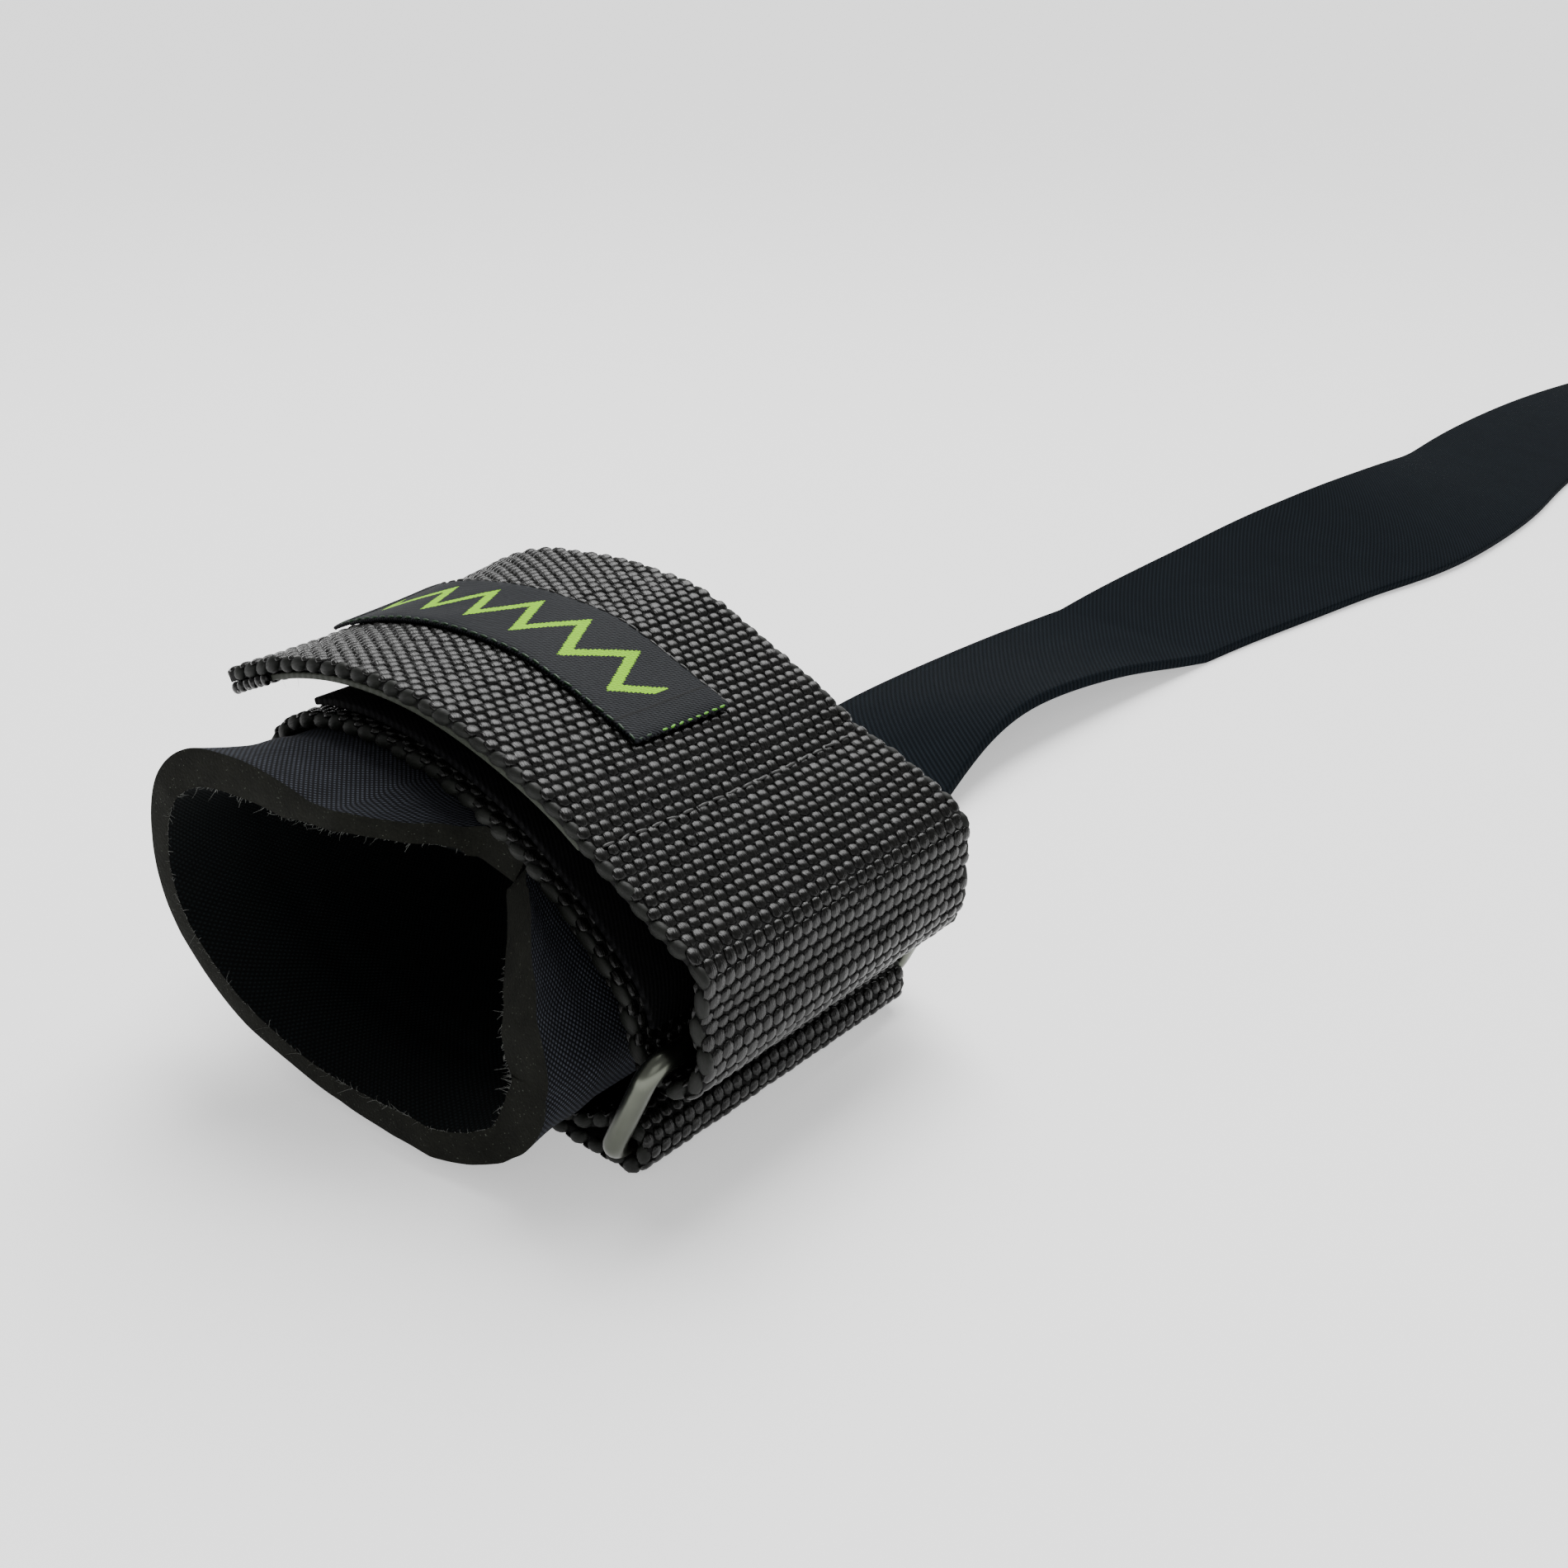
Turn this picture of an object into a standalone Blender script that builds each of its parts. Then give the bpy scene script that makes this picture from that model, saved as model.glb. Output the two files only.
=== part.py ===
"""Weightlifting strap: a padded wrist cuff closed with webbing through a steel ring,
and a long flat lifting strap sewn under it.

Sizes are in millimetres, and MM turns them into metres where meshes are placed.
X runs across the wrist opening, Y along the wrist from the front face to the rear,
and Z up. The origin is on the surface the strap lies on, under the middle of the cuff.
"""
import math

import bmesh
import bpy
import numpy as np
from mathutils import Vector

MM = 0.001

# Driving sizes
WEB_WIDTH = 50.0          # closure webbing, edge to edge
WEB_THICK = 2.2
STRAP_WIDTH = 38.0        # lifting strap, edge to edge
STRAP_THICK = 2.2
STRAP_LENGTH = 520.0      # from its sewn end under the cuff to its free end
STRAP_INSET = 4.0         # sewn end, behind the front edge of the closure webbing
STRAP_LEVEL = 8.0         # stretch behind the closure webbing that still lies level
STRAP_EASE = 30.0         # stretch over which its roll then sets in
CUFF_WIDTH = 63.0         # outside of the foam cuff under the webbing
CUFF_HEIGHT = 37.5
CUFF_THICK = 5.0
SEAM_GAP = 1.0            # between the two ends of the foam pad
RIM_REACH = 16.0          # furthest reach of the foam pad past the webbing's front edge
RIM_FLARE = 5.0           # outward flare that the table of the rim shares out
LAYER_LIFT = 10.0         # stand-off of the webbing that its tables share out
LOOP_THICK = 1.2          # soft loop panel on the inner layer
LOOP_MARGIN = 1.5         # of the panels inside the webbing's edges
LOOP_OVER = 44.0          # length of the loop panel over the top of the cuff
LOOP_STOP_LENGTH = 3.0    # where it stops, before the turn round the ring
HOOK_THICK = 1.0
HOOK_LENGTH = 68.0
TIP_MARGIN = 1.5          # of the hook panel inside the free tip
LABEL_LENGTH = 59.0
LABEL_WIDTH = 17.0
LABEL_THICK = 0.6
LABEL_SETBACK = 29.0      # from the end of the ring turn to the label
LABEL_ASIDE = 0.5         # middle of the label, from the middle of the webbing
WIRE = 2.8                # ring wire diameter
RING_INSIDE = 13.6        # ring opening between its two long bars
RING_SIDE_ROOM = 0.9      # beside the webbing at each short side
RING_CORNER = 2.8         # bend radius of the wire's middle line
RING_LEAN = 64.0          # degrees from level, leaning away from the cuff
RING_FOOT = 0.1           # lower bar, outside the widest point of the cuff
FOLD_ROOM = 0.3           # webbing fold round the lower bar
FOLD_LIFT = 0.04          # of the fold's rounded face off the surface
FOLD_CLEAR = 0.6          # folded end of the webbing, beside the lifting strap
FOLD_NECK = 9.0           # stretch over which the fold comes down from the bar
GAP = 0.3                 # between pieces that touch

# Heights that follow from the layers under the cuff
CUFF_BASE = STRAP_THICK + GAP + WEB_THICK + GAP
SEATED = GAP + WEB_THICK / 2

# Section of the cuff's outer face, anticlockwise from the seam at the upper right:
# across as a share of CUFF_WIDTH, up as a share of CUFF_HEIGHT
SECTION = (
    (0.260, 0.800),
    (0.110, 0.917),
    (-0.050, 0.985),
    (-0.210, 1.000),
    (-0.355, 0.955),
    (-0.455, 0.835),
    (-0.495, 0.640),
    (-0.465, 0.425),
    (-0.370, 0.225),
    (-0.215, 0.075),
    (-0.030, 0.000),
    (0.200, 0.000),
    (0.360, 0.030),
    (0.455, 0.130),
    (0.498, 0.280),
    (0.465, 0.430),
    (0.385, 0.605),
    (0.285, 0.760),
)

# Edge of the foam pad beyond the webbing: share of the way round from the seam,
# reach past the webbing's front edge as a share of RIM_REACH, outward flare at the
# edge as a share of RIM_FLARE
RIM = (
    (0.000, -0.125, 0.000),
    (0.040, -0.050, 0.000),
    (0.068, 0.406, 0.120),
    (0.086, 0.625, 0.240),
    (0.105, 0.800, 0.360),
    (0.185, 0.875, 0.480),
    (0.245, 0.938, 0.560),
    (0.300, 1.000, 0.560),
    (0.420, 1.000, 0.760),
    (0.520, 0.925, 0.880),
    (0.600, 0.887, 0.940),
    (0.660, 0.887, 0.920),
    (0.700, 0.863, 0.840),
    (0.735, 0.787, 0.640),
    (0.770, 0.688, 0.360),
    (0.830, 0.650, 0.200),
    (0.900, 0.625, 0.160),
    (0.928, 0.487, 0.100),
    (0.955, 0.287, 0.040),
    (1.000, -0.094, 0.000),
)
REAR_REACH = 0.6          # of the rear edge, as a share of the front's
REAR_FLARE = 0.35

# Inner layer on the slope down to the ring: share of the way round the cuff,
# middle of the webbing off the cuff at the front edge and at the rear edge, as
# shares of LAYER_LIFT
SLOPE = (
    (-0.024, 0.190, 0.190),
    (-0.059, 0.250, 0.250),
    (-0.089, 0.300, 0.300),
    (-0.120, 0.360, 0.340),
)

# Turn round the upper bar: degrees round the bar, slack between bar and webbing
# at the front edge and at the rear edge, as shares of LAYER_LIFT
TURN = (
    (200.0, 0.230, 0.200),
    (230.0, 0.190, 0.160),
    (265.0, 0.150, 0.130),
    (300.0, 0.150, 0.110),
    (335.0, 0.200, 0.120),
    (365.0, 0.280, 0.180),
    (390.0, 0.370, 0.300),
    (412.0, 0.520, 0.500),
)

# Outer layer from the turn over the top to the free tip: share of the way round,
# middle of the webbing off the cuff at the front edge and at the rear edge, as
# shares of LAYER_LIFT
OUTER = (
    (-0.117, 1.760, 1.680),
    (-0.093, 1.550, 1.490),
    (-0.065, 1.330, 1.180),
    (-0.035, 1.220, 0.920),
    (0.000, 1.090, 0.780),
    (0.040, 1.020, 0.760),
    (0.080, 0.970, 0.800),
    (0.120, 0.930, 0.910),
    (0.160, 0.890, 0.920),
    (0.200, 0.860, 0.950),
    (0.240, 0.860, 1.040),
    (0.275, 0.980, 1.300),
    (0.300, 1.270, 1.630),
)
CAMBER = 1.0              # dip of the outer layer's middle below its edges

# Route of the lifting strap from its sewn end: share of its length, aside from the
# cuff's middle and lift of its lowest edge as shares of STRAP_WIDTH, roll in degrees
# (right edge up)
STRAP_ROUTE = (
    (0.00, -0.039, 0.000, 0.0),
    (0.08, -0.092, 0.000, 0.0),
    (0.15, -0.224, 0.000, 2.0),
    (0.20, -0.379, 0.000, 8.0),
    (0.25, -0.447, 0.000, 12.0),
    (0.30, -0.429, 0.000, 9.0),
    (0.35, -0.376, 0.000, 2.5),
    (0.40, -0.297, 0.000, -3.5),
    (0.45, -0.182, 0.000, -9.0),
    (0.50, -0.050, 0.000, -15.0),
    (0.56, 0.095, 0.000, -18.5),
    (0.62, 0.095, 0.000, -15.5),
    (0.68, 0.018, 0.000, -10.5),
    (0.75, -0.071, 0.000, -8.5),
    (0.85, -0.105, 0.000, -6.0),
    (1.00, -0.039, 0.000, 0.0),
)

# Longest step and sharpest turn of one row of faces
ROW_STEP = 4.5
ROW_TURN = math.radians(20.0)
ACROSS_ROWS = 4


def cubic_second_derivatives(points, steps, closed):
    """Second derivatives at the knots of the cubic spline through the points."""
    count = len(points)
    matrix = np.zeros((count, count))
    wanted = np.zeros(points.shape)
    slopes = np.diff(points, axis=0) / steps[:, None]
    for i in range(1, count - 1):
        matrix[i, i - 1] = steps[i - 1]
        matrix[i, i] = 2 * (steps[i - 1] + steps[i])
        matrix[i, i + 1] = steps[i]
        wanted[i] = 6 * (slopes[i] - slopes[i - 1])
    matrix[0, 0] = 1.0
    if closed:
        matrix[0, -1] = -1.0
        matrix[-1, 0] = 2 * steps[0]
        matrix[-1, 1] = steps[0]
        matrix[-1, -2] = steps[-1]
        matrix[-1, -1] = 2 * steps[-1]
        wanted[-1] = 6 * (slopes[0] - slopes[-1])
    else:
        matrix[-1, -1] = 1.0
    return np.linalg.solve(matrix, wanted)


def smooth(points, count, closed=False, knots=None):
    """Read a cubic spline through the points at evenly spaced parameters."""
    points = np.array(points, dtype=float)
    if closed:
        points = np.vstack([points, points[:1]])
    if knots is None:
        knots = knots_of(points)
    steps = np.diff(knots)
    bend = cubic_second_derivatives(points, steps, closed)
    at = np.linspace(0.0, knots[-1], count)
    i = np.clip(np.searchsorted(knots, at, side="right") - 1, 0, len(steps) - 1)
    step = steps[i][:, None]
    low = (knots[i + 1] - at)[:, None] / step
    high = 1.0 - low
    curved = (low ** 3 - low) * bend[i] + (high ** 3 - high) * bend[i + 1]
    return low * points[i] + high * points[i + 1] + curved * step ** 2 / 6


def knots_of(points):
    """Knots that grow with the square root of the distance between points."""
    gaps = np.linalg.norm(np.diff(points, axis=0), axis=1)
    return np.concatenate([[0.0], np.cumsum(np.sqrt(gaps))])


def lengths_along(points):
    gaps = np.linalg.norm(np.diff(points, axis=0), axis=1)
    return np.concatenate([[0.0], np.cumsum(gaps)])


def left_normals(points):
    """Unit normals to the left of the way along a flat curve."""
    tangent = np.gradient(points, axis=0)
    tangent /= np.linalg.norm(tangent, axis=1)[:, None]
    return np.stack([-tangent[:, 1], tangent[:, 0]], axis=1)


class Cuff:
    """Outer face of the cuff in the XZ plane, read by share of the way round."""

    def __init__(self):
        corners = [(a * CUFF_WIDTH, CUFF_BASE + b * CUFF_HEIGHT) for a, b in SECTION]
        dense = smooth(corners, 4001, closed=True)
        dense[:, 1] += CUFF_BASE - dense[:, 1].min()
        run = lengths_along(dense)
        self.length = run[-1]
        self.shares = np.linspace(0.0, 1.0, 1601)
        at = self.shares * self.length
        self.points = np.stack([np.interp(at, run, dense[:, k]) for k in range(2)], axis=1)
        self.out = -left_normals(np.vstack([self.points[-2:-1], self.points, self.points[1:2]]))[1:-1]

    def at(self, share, lift):
        """Point a lift outside the outer face, at a share of the way round."""
        here = [np.interp(share % 1.0, self.shares, self.points[:, k]) for k in range(2)]
        out = [np.interp(share % 1.0, self.shares, self.out[:, k]) for k in range(2)]
        out = np.array(out) / np.linalg.norm(out)
        return np.array(here) + lift * out


class Ring:
    """Middles of the ring's two long bars in the XZ plane."""

    def __init__(self):
        self.fold_radius = WIRE / 2 + FOLD_ROOM + WEB_THICK / 2
        self.level = WEB_THICK / 2 + FOLD_LIFT
        self.lower = np.array([CUFF_WIDTH / 2 + RING_FOOT, self.level + self.fold_radius])
        lean = math.radians(RING_LEAN)
        self.rise = np.array([math.cos(lean), math.sin(lean)])
        self.height = RING_INSIDE + WIRE
        self.upper = self.lower + self.height * self.rise


class Closure:
    """Middle plane of the closure webbing, read by length along it, aside and height."""

    def __init__(self, cuff, ring):
        front, rear, dip, marks = self.control_points(cuff, ring)
        knots = knots_of((front + rear) / 2)
        count = 6001
        self.front = smooth(front, count, knots=knots)
        self.rear = smooth(rear, count, knots=knots)
        self.dip = np.interp(np.linspace(0.0, knots[-1], count), knots, dip)
        self.run = lengths_along((self.front + self.rear) / 2)
        self.length = self.run[-1]
        position = np.linspace(0.0, knots[-1], count)
        self.marks = {name: np.interp(knots[i], position, self.run) for name, i in marks.items()}
        self.front_normals = left_normals(self.front)
        self.rear_normals = left_normals(self.rear)

    def control_points(self, cuff, ring):
        """Points of the front and rear edges, from the folded end to the free tip."""
        rows = []
        marks = {}

        def add(front, rear=None, dip=0.0):
            rows.append((front, front if rear is None else rear, dip))

        fold_end = STRAP_ROUTE[0][1] * STRAP_WIDTH + STRAP_WIDTH / 2 + FOLD_CLEAR
        add((fold_end, ring.level))
        for share in (0.35, 0.7, 0.85):
            add((fold_end + share * (ring.lower[0] - fold_end), ring.level))
        for angle in np.radians(np.linspace(-90.0, 90.0, 9)):
            spoke = np.array([math.cos(angle), math.sin(angle)])
            add(ring.lower + ring.fold_radius * spoke)
        run_level = CUFF_BASE - SEATED
        drop = ring.lower[1] + ring.fold_radius - run_level
        for share, left in ((0.18, 0.88), (0.45, 0.48), (0.72, 0.13), (1.0, 0.0)):
            add((ring.lower[0] - share * FOLD_NECK, run_level + left * drop))
        marks["bottom"] = len(rows)
        for share in np.linspace(0.690, 0.0, 28):
            add(cuff.at(share, SEATED))
        marks["slope"] = len(rows)
        for share, front, rear in SLOPE:
            add(cuff.at(share, front * LAYER_LIFT), cuff.at(share, rear * LAYER_LIFT))
        marks["turn"] = len(rows)
        for degrees, front, rear in TURN:
            angle = math.radians(degrees)
            spoke = np.array([math.cos(angle), math.sin(angle)])
            clear = WIRE / 2 + WEB_THICK / 2
            add(ring.upper + (clear + front * LAYER_LIFT) * spoke,
                ring.upper + (clear + rear * LAYER_LIFT) * spoke)
        marks["outer"] = len(rows)
        for share, front, rear in OUTER:
            add(cuff.at(share, front * LAYER_LIFT), cuff.at(share, rear * LAYER_LIFT), CAMBER)
        front = np.array([row[0] for row in rows])
        rear = np.array([row[1] for row in rows])
        dip = np.array([row[2] for row in rows])
        return front, rear, dip, marks

    def place(self, along, aside, height):
        """World point in millimetres; a positive height is to the left of the way along."""
        share = aside / WEB_WIDTH + 0.5
        read = [np.interp(along, self.run, values) for values in (
            self.front[:, 0], self.front[:, 1], self.rear[:, 0], self.rear[:, 1],
            self.front_normals[:, 0], self.front_normals[:, 1],
            self.rear_normals[:, 0], self.rear_normals[:, 1], self.dip)]
        point = np.array(read[0:2]) * (1 - share) + np.array(read[2:4]) * share
        normal = np.array(read[4:6]) * (1 - share) + np.array(read[6:8]) * share
        normal /= np.linalg.norm(normal)
        dip = read[8] * (1.0 - (2 * share - 1) ** 2)
        point = point + normal * (height + dip)
        return (point[0], aside, point[1])

    def rows(self, start, end):
        """Stations between two lengths, closer together where the webbing bends."""
        inside = np.linspace(start, end, 2001)
        middle = (self.front + self.rear) / 2
        points = np.stack([np.interp(inside, self.run, middle[:, k]) for k in range(2)], axis=1)
        way = np.diff(points, axis=0)
        angle = np.unwrap(np.arctan2(way[:, 1], way[:, 0]))
        bend = np.abs(np.diff(angle, prepend=angle[0]))
        cost = np.linalg.norm(way, axis=1) / ROW_STEP + bend / ROW_TURN
        total = np.concatenate([[0.0], np.cumsum(cost)])
        count = max(3, int(math.ceil(total[-1])) + 1)
        return np.interp(np.linspace(0.0, total[-1], count), total, inside)


def bent_grid(name, along, across, place, thickness, material):
    """A flat grid bent so that each vertex goes where place(along, across) says."""
    mesh = bpy.data.meshes.new(name)
    grid = bmesh.new()
    columns = len(along) - 1
    rows = len(across) - 1
    bmesh.ops.create_grid(grid, x_segments=columns, y_segments=rows, size=0.5)
    for vertex in grid.verts:
        i = round((vertex.co.x + 0.5) * columns)
        j = round((vertex.co.y + 0.5) * rows)
        vertex.co = Vector(place(along[i], across[j])) * MM
    grid.to_mesh(mesh)
    grid.free()
    mesh.shade_smooth()
    piece = bpy.data.objects.new(name, mesh)
    piece.data.materials.append(material)
    shell = piece.modifiers.new("thickness", "SOLIDIFY")
    shell.thickness = thickness * MM
    shell.offset = 0.0
    shell.use_even_offset = True
    return piece


def plain_material(name, colour, roughness, metallic=0.0):
    material = bpy.data.materials.new(name)
    material.use_nodes = True
    shader = material.node_tree.nodes["Principled BSDF"]
    shader.inputs["Base Color"].default_value = (*colour, 1.0)
    shader.inputs["Roughness"].default_value = roughness
    shader.inputs["Metallic"].default_value = metallic
    return material


def make_cuff(cuff, material):
    """Foam pad bent into a tube whose two ends meet under the webbing."""
    table = np.array(RIM)
    gap_share = SEAM_GAP / cuff.length / 2
    shares = np.linspace(gap_share, 1.0 - gap_share, 61)
    levels = np.array([0.0, 0.06, 0.12, 0.18, 0.3, 0.5, 0.7, 0.82, 0.88, 0.94, 1.0])

    def place(share, level):
        reach = np.interp(share, table[:, 0], table[:, 1]) * RIM_REACH
        flare = np.interp(share, table[:, 0], table[:, 2]) * RIM_FLARE
        if level > 0.5:
            reach *= REAR_REACH
            flare *= REAR_FLARE
        y = (2 * level - 1) * (WEB_WIDTH / 2 + reach)
        beyond = max(0.0, abs(y) - WEB_WIDTH / 2)
        out = flare * (beyond / max(reach, 1.0)) ** 2
        x, z = cuff.at(share, out - CUFF_THICK / 2)
        return (x, y, z)

    return bent_grid("neoprene_cuff", shares, levels, place, CUFF_THICK, material)


def make_closure_strap(closure, material):
    along = closure.rows(0.0, closure.length)
    across = np.linspace(-WEB_WIDTH / 2, WEB_WIDTH / 2, ACROSS_ROWS + 1)

    def place(length, aside):
        return closure.place(length, aside, 0.0)

    return bent_grid("closure_strap", along, across, place, WEB_THICK, material)


def make_panel(name, closure, start, end, half_width, middle, side, thickness, material):
    """A thin piece that lies on one face of the closure webbing."""
    along = closure.rows(start, end)
    across = np.linspace(middle - half_width, middle + half_width, ACROSS_ROWS + 1)
    height = side * (WEB_THICK / 2 + GAP + thickness / 2)

    def place(length, aside):
        return closure.place(length, aside, height)

    return bent_grid(name, along, across, place, thickness, material)


def make_ring(ring, material):
    """Steel wire bent into a rounded rectangle, its long bars along Y."""
    half = WEB_WIDTH / 2 + RING_SIDE_ROOM + WIRE / 2
    points = []
    corners = ((half, ring.height), (-half, ring.height), (-half, 0.0), (half, 0.0))
    for turn, (y, rise) in enumerate(corners):
        centre_y = y - math.copysign(RING_CORNER, y)
        centre_rise = rise - RING_CORNER if rise > 0 else RING_CORNER
        for angle in (turn + np.linspace(0.0, 1.0, 5)) * math.pi / 2:
            up = centre_rise + RING_CORNER * math.sin(angle)
            x, z = ring.lower + up * ring.rise
            points.append(Vector((x, centre_y + RING_CORNER * math.cos(angle), z)) * MM)
    curve = bpy.data.curves.new("steel_ring", "CURVE")
    curve.dimensions = "3D"
    curve.bevel_depth = WIRE / 2 * MM
    curve.bevel_resolution = 2
    wire = curve.splines.new("POLY")
    wire.points.add(len(points) - 1)
    for point, where in zip(wire.points, points):
        point.co = (*where, 1.0)
    wire.use_cyclic_u = True
    piece = bpy.data.objects.new("steel_ring", curve)
    curve.materials.append(material)
    return piece


def make_lifting_strap(material):
    """Flat strap that lies on the surface and leaves from under the cuff."""
    table = np.array(STRAP_ROUTE)
    table[:, 1:3] *= STRAP_WIDTH
    dense = smooth(table, 1201)
    start = -WEB_WIDTH / 2 + STRAP_INSET
    flat = np.stack([dense[:, 1], start + dense[:, 0] * STRAP_LENGTH], axis=1)
    sides = -left_normals(flat)
    level_end = (WEB_WIDTH - STRAP_INSET + STRAP_LEVEL) / STRAP_LENGTH
    along = np.linspace(0.0, 1.0, 64)
    across = np.linspace(-STRAP_WIDTH / 2, STRAP_WIDTH / 2, 3)

    def read(share, values):
        return np.interp(share, dense[:, 0], values)

    def place(share, aside):
        ease = min(1.0, max(0.0, (share - level_end) * STRAP_LENGTH / STRAP_EASE))
        ease = ease * ease * (3.0 - 2.0 * ease)
        roll = math.radians(read(share, dense[:, 3])) * ease
        lift = max(0.0, read(share, dense[:, 2])) * ease
        side = np.array([read(share, sides[:, 0]), read(share, sides[:, 1])])
        side /= np.linalg.norm(side)
        reach = STRAP_WIDTH / 2 * abs(math.sin(roll))
        level = lift + reach + STRAP_THICK / 2 / math.cos(roll)
        x = read(share, flat[:, 0]) + aside * math.cos(roll) * side[0]
        y = read(share, flat[:, 1]) + aside * math.cos(roll) * side[1]
        return (x, y, level + aside * math.sin(roll))

    return bent_grid("lifting_strap", along, across, place, STRAP_THICK, material)


def clear_scene():
    for thing in list(bpy.data.objects):
        bpy.data.objects.remove(thing, do_unlink=True)


def main():
    clear_scene()
    black_knit = plain_material("charcoal_knit", (0.018, 0.019, 0.022), 0.9)
    black_webbing = plain_material("black_webbing", (0.012, 0.012, 0.013), 0.6)
    loop_pile = plain_material("loop_pile", (0.015, 0.015, 0.016), 0.95)
    hook_tape = plain_material("hook_tape", (0.010, 0.010, 0.011), 0.7)
    label_twill = plain_material("label_twill", (0.020, 0.021, 0.022), 0.7)
    steel = plain_material("satin_steel", (0.30, 0.31, 0.29), 0.35, 1.0)
    navy_twill = plain_material("navy_twill", (0.008, 0.010, 0.014), 0.85)

    cuff = Cuff()
    ring = Ring()
    closure = Closure(cuff, ring)
    half_panel = WEB_WIDTH / 2 - LOOP_MARGIN
    loop_start = closure.marks["slope"] - LOOP_OVER
    loop_end = closure.marks["turn"] - LOOP_STOP_LENGTH
    hook_end = closure.length - TIP_MARGIN
    label_start = closure.marks["outer"] + LABEL_SETBACK
    pieces = [
        make_cuff(cuff, black_knit),
        make_closure_strap(closure, black_webbing),
        make_panel("loop_panel", closure, loop_start, loop_end, half_panel, 0.0,
                   1, LOOP_THICK, loop_pile),
        make_panel("hook_panel", closure, hook_end - HOOK_LENGTH, hook_end, half_panel, 0.0,
                   1, HOOK_THICK, hook_tape),
        make_panel("woven_label", closure, label_start, label_start + LABEL_LENGTH,
                   LABEL_WIDTH / 2, LABEL_ASIDE, -1, LABEL_THICK, label_twill),
        make_ring(ring, steel),
        make_lifting_strap(navy_twill),
    ]
    collection = bpy.data.collections.new("weightlifting_strap")
    bpy.context.scene.collection.children.link(collection)
    for piece in pieces:
        collection.objects.link(piece)


main()
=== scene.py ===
# %% [markdown]
# # A weightlifting strap
#
# A foam wrist cuff is closed by a coarse webbing that runs through a steel ring, and a
# long flat lifting strap is sewn under it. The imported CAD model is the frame: each piece
# made here sits where a node of that model sits, and stands for it.

# %% Load the frame
import math

import bpy
import numpy as np
from mathutils import Matrix, Vector


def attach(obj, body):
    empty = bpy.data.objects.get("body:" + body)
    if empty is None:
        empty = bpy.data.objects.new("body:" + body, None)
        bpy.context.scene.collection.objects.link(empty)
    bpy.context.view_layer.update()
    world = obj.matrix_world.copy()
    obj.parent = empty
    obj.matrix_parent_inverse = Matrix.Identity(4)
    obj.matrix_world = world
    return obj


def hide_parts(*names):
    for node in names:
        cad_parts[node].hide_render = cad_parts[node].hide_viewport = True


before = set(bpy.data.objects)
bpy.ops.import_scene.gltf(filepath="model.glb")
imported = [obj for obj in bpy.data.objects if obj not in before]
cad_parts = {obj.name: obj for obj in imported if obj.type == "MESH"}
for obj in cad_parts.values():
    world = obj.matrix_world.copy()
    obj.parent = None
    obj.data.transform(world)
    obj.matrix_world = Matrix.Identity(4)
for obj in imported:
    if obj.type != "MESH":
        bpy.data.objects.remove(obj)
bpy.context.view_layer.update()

# %% [markdown]
# ## The camera
#
# The view is from the front right and from above, close enough for strong perspective:
# the near rim of the cuff is much larger than the far end of the lifting strap. The
# camera is set by its place and by two angles, so that it doesn't roll.

# %% Camera
FRAME_PIXELS = 1900
FOCAL_PIXELS = 2100.0
CAMERA_AT = (0.15165, -0.13911, 0.12681)
CAMERA_AZIMUTH = 40.0
CAMERA_ELEVATION = 25.0


def aim_camera():
    azimuth = math.radians(CAMERA_AZIMUTH)
    elevation = math.radians(CAMERA_ELEVATION)
    level = math.cos(elevation)
    back = Vector((math.sin(azimuth) * level, -math.cos(azimuth) * level, math.sin(elevation)))
    right = Vector((0.0, 0.0, 1.0)).cross(back).normalized()
    up = back.cross(right)
    lens = bpy.data.cameras.new("camera")
    lens.sensor_width = 36.0
    lens.lens = FOCAL_PIXELS * lens.sensor_width / FRAME_PIXELS
    lens.clip_start = 0.01
    camera = bpy.data.objects.new("camera", lens)
    bpy.context.scene.collection.objects.link(camera)
    camera.matrix_world = Matrix.Translation(CAMERA_AT) @ Matrix((right, up, back)).transposed().to_4x4()
    bpy.context.scene.camera = camera
    return camera


print("lens in mm:", round(aim_camera().data.lens, 2))

# %% [markdown]
# ## Sizes and tables
#
# These are the sizes of the real pieces in millimetres, the same that the CAD model is
# built from. The tables give the cuff's section, the edge of its foam pad and the way
# that each layer of webbing takes over it. Lengths in them are shares of a named size.

# %% Sizes
MM = 0.001
WEB_WIDTH = 50.0
WEB_THICK = 2.2
STRAP_WIDTH = 38.0
STRAP_THICK = 2.2
STRAP_LENGTH = 520.0
STRAP_INSET = 4.0
STRAP_LEVEL = 8.0
STRAP_EASE = 30.0
CUFF_WIDTH = 63.0
CUFF_HEIGHT = 37.5
CUFF_THICK = 5.0
SEAM_GAP = 1.0
RIM_REACH = 16.0
RIM_FLARE = 5.0
REAR_REACH = 0.6
REAR_FLARE = 0.35
LAYER_LIFT = 10.0
LOOP_THICK = 1.2
LOOP_MARGIN = 1.5
LOOP_OVER = 44.0
LOOP_STOP_LENGTH = 3.0
HOOK_THICK = 1.0
HOOK_LENGTH = 68.0
TIP_MARGIN = 1.5
LABEL_LENGTH = 59.0
LABEL_WIDTH = 17.0
LABEL_THICK = 0.6
LABEL_SETBACK = 29.0
LABEL_ASIDE = 0.5
WIRE = 2.8
RING_INSIDE = 13.6
RING_SIDE_ROOM = 0.9
RING_CORNER = 2.8
RING_LEAN = 64.0
RING_FOOT = 0.1
FOLD_ROOM = 0.3
FOLD_LIFT = 0.04
FOLD_CLEAR = 0.6
FOLD_NECK = 9.0
CAMBER = 1.0
GAP = 0.3
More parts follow.
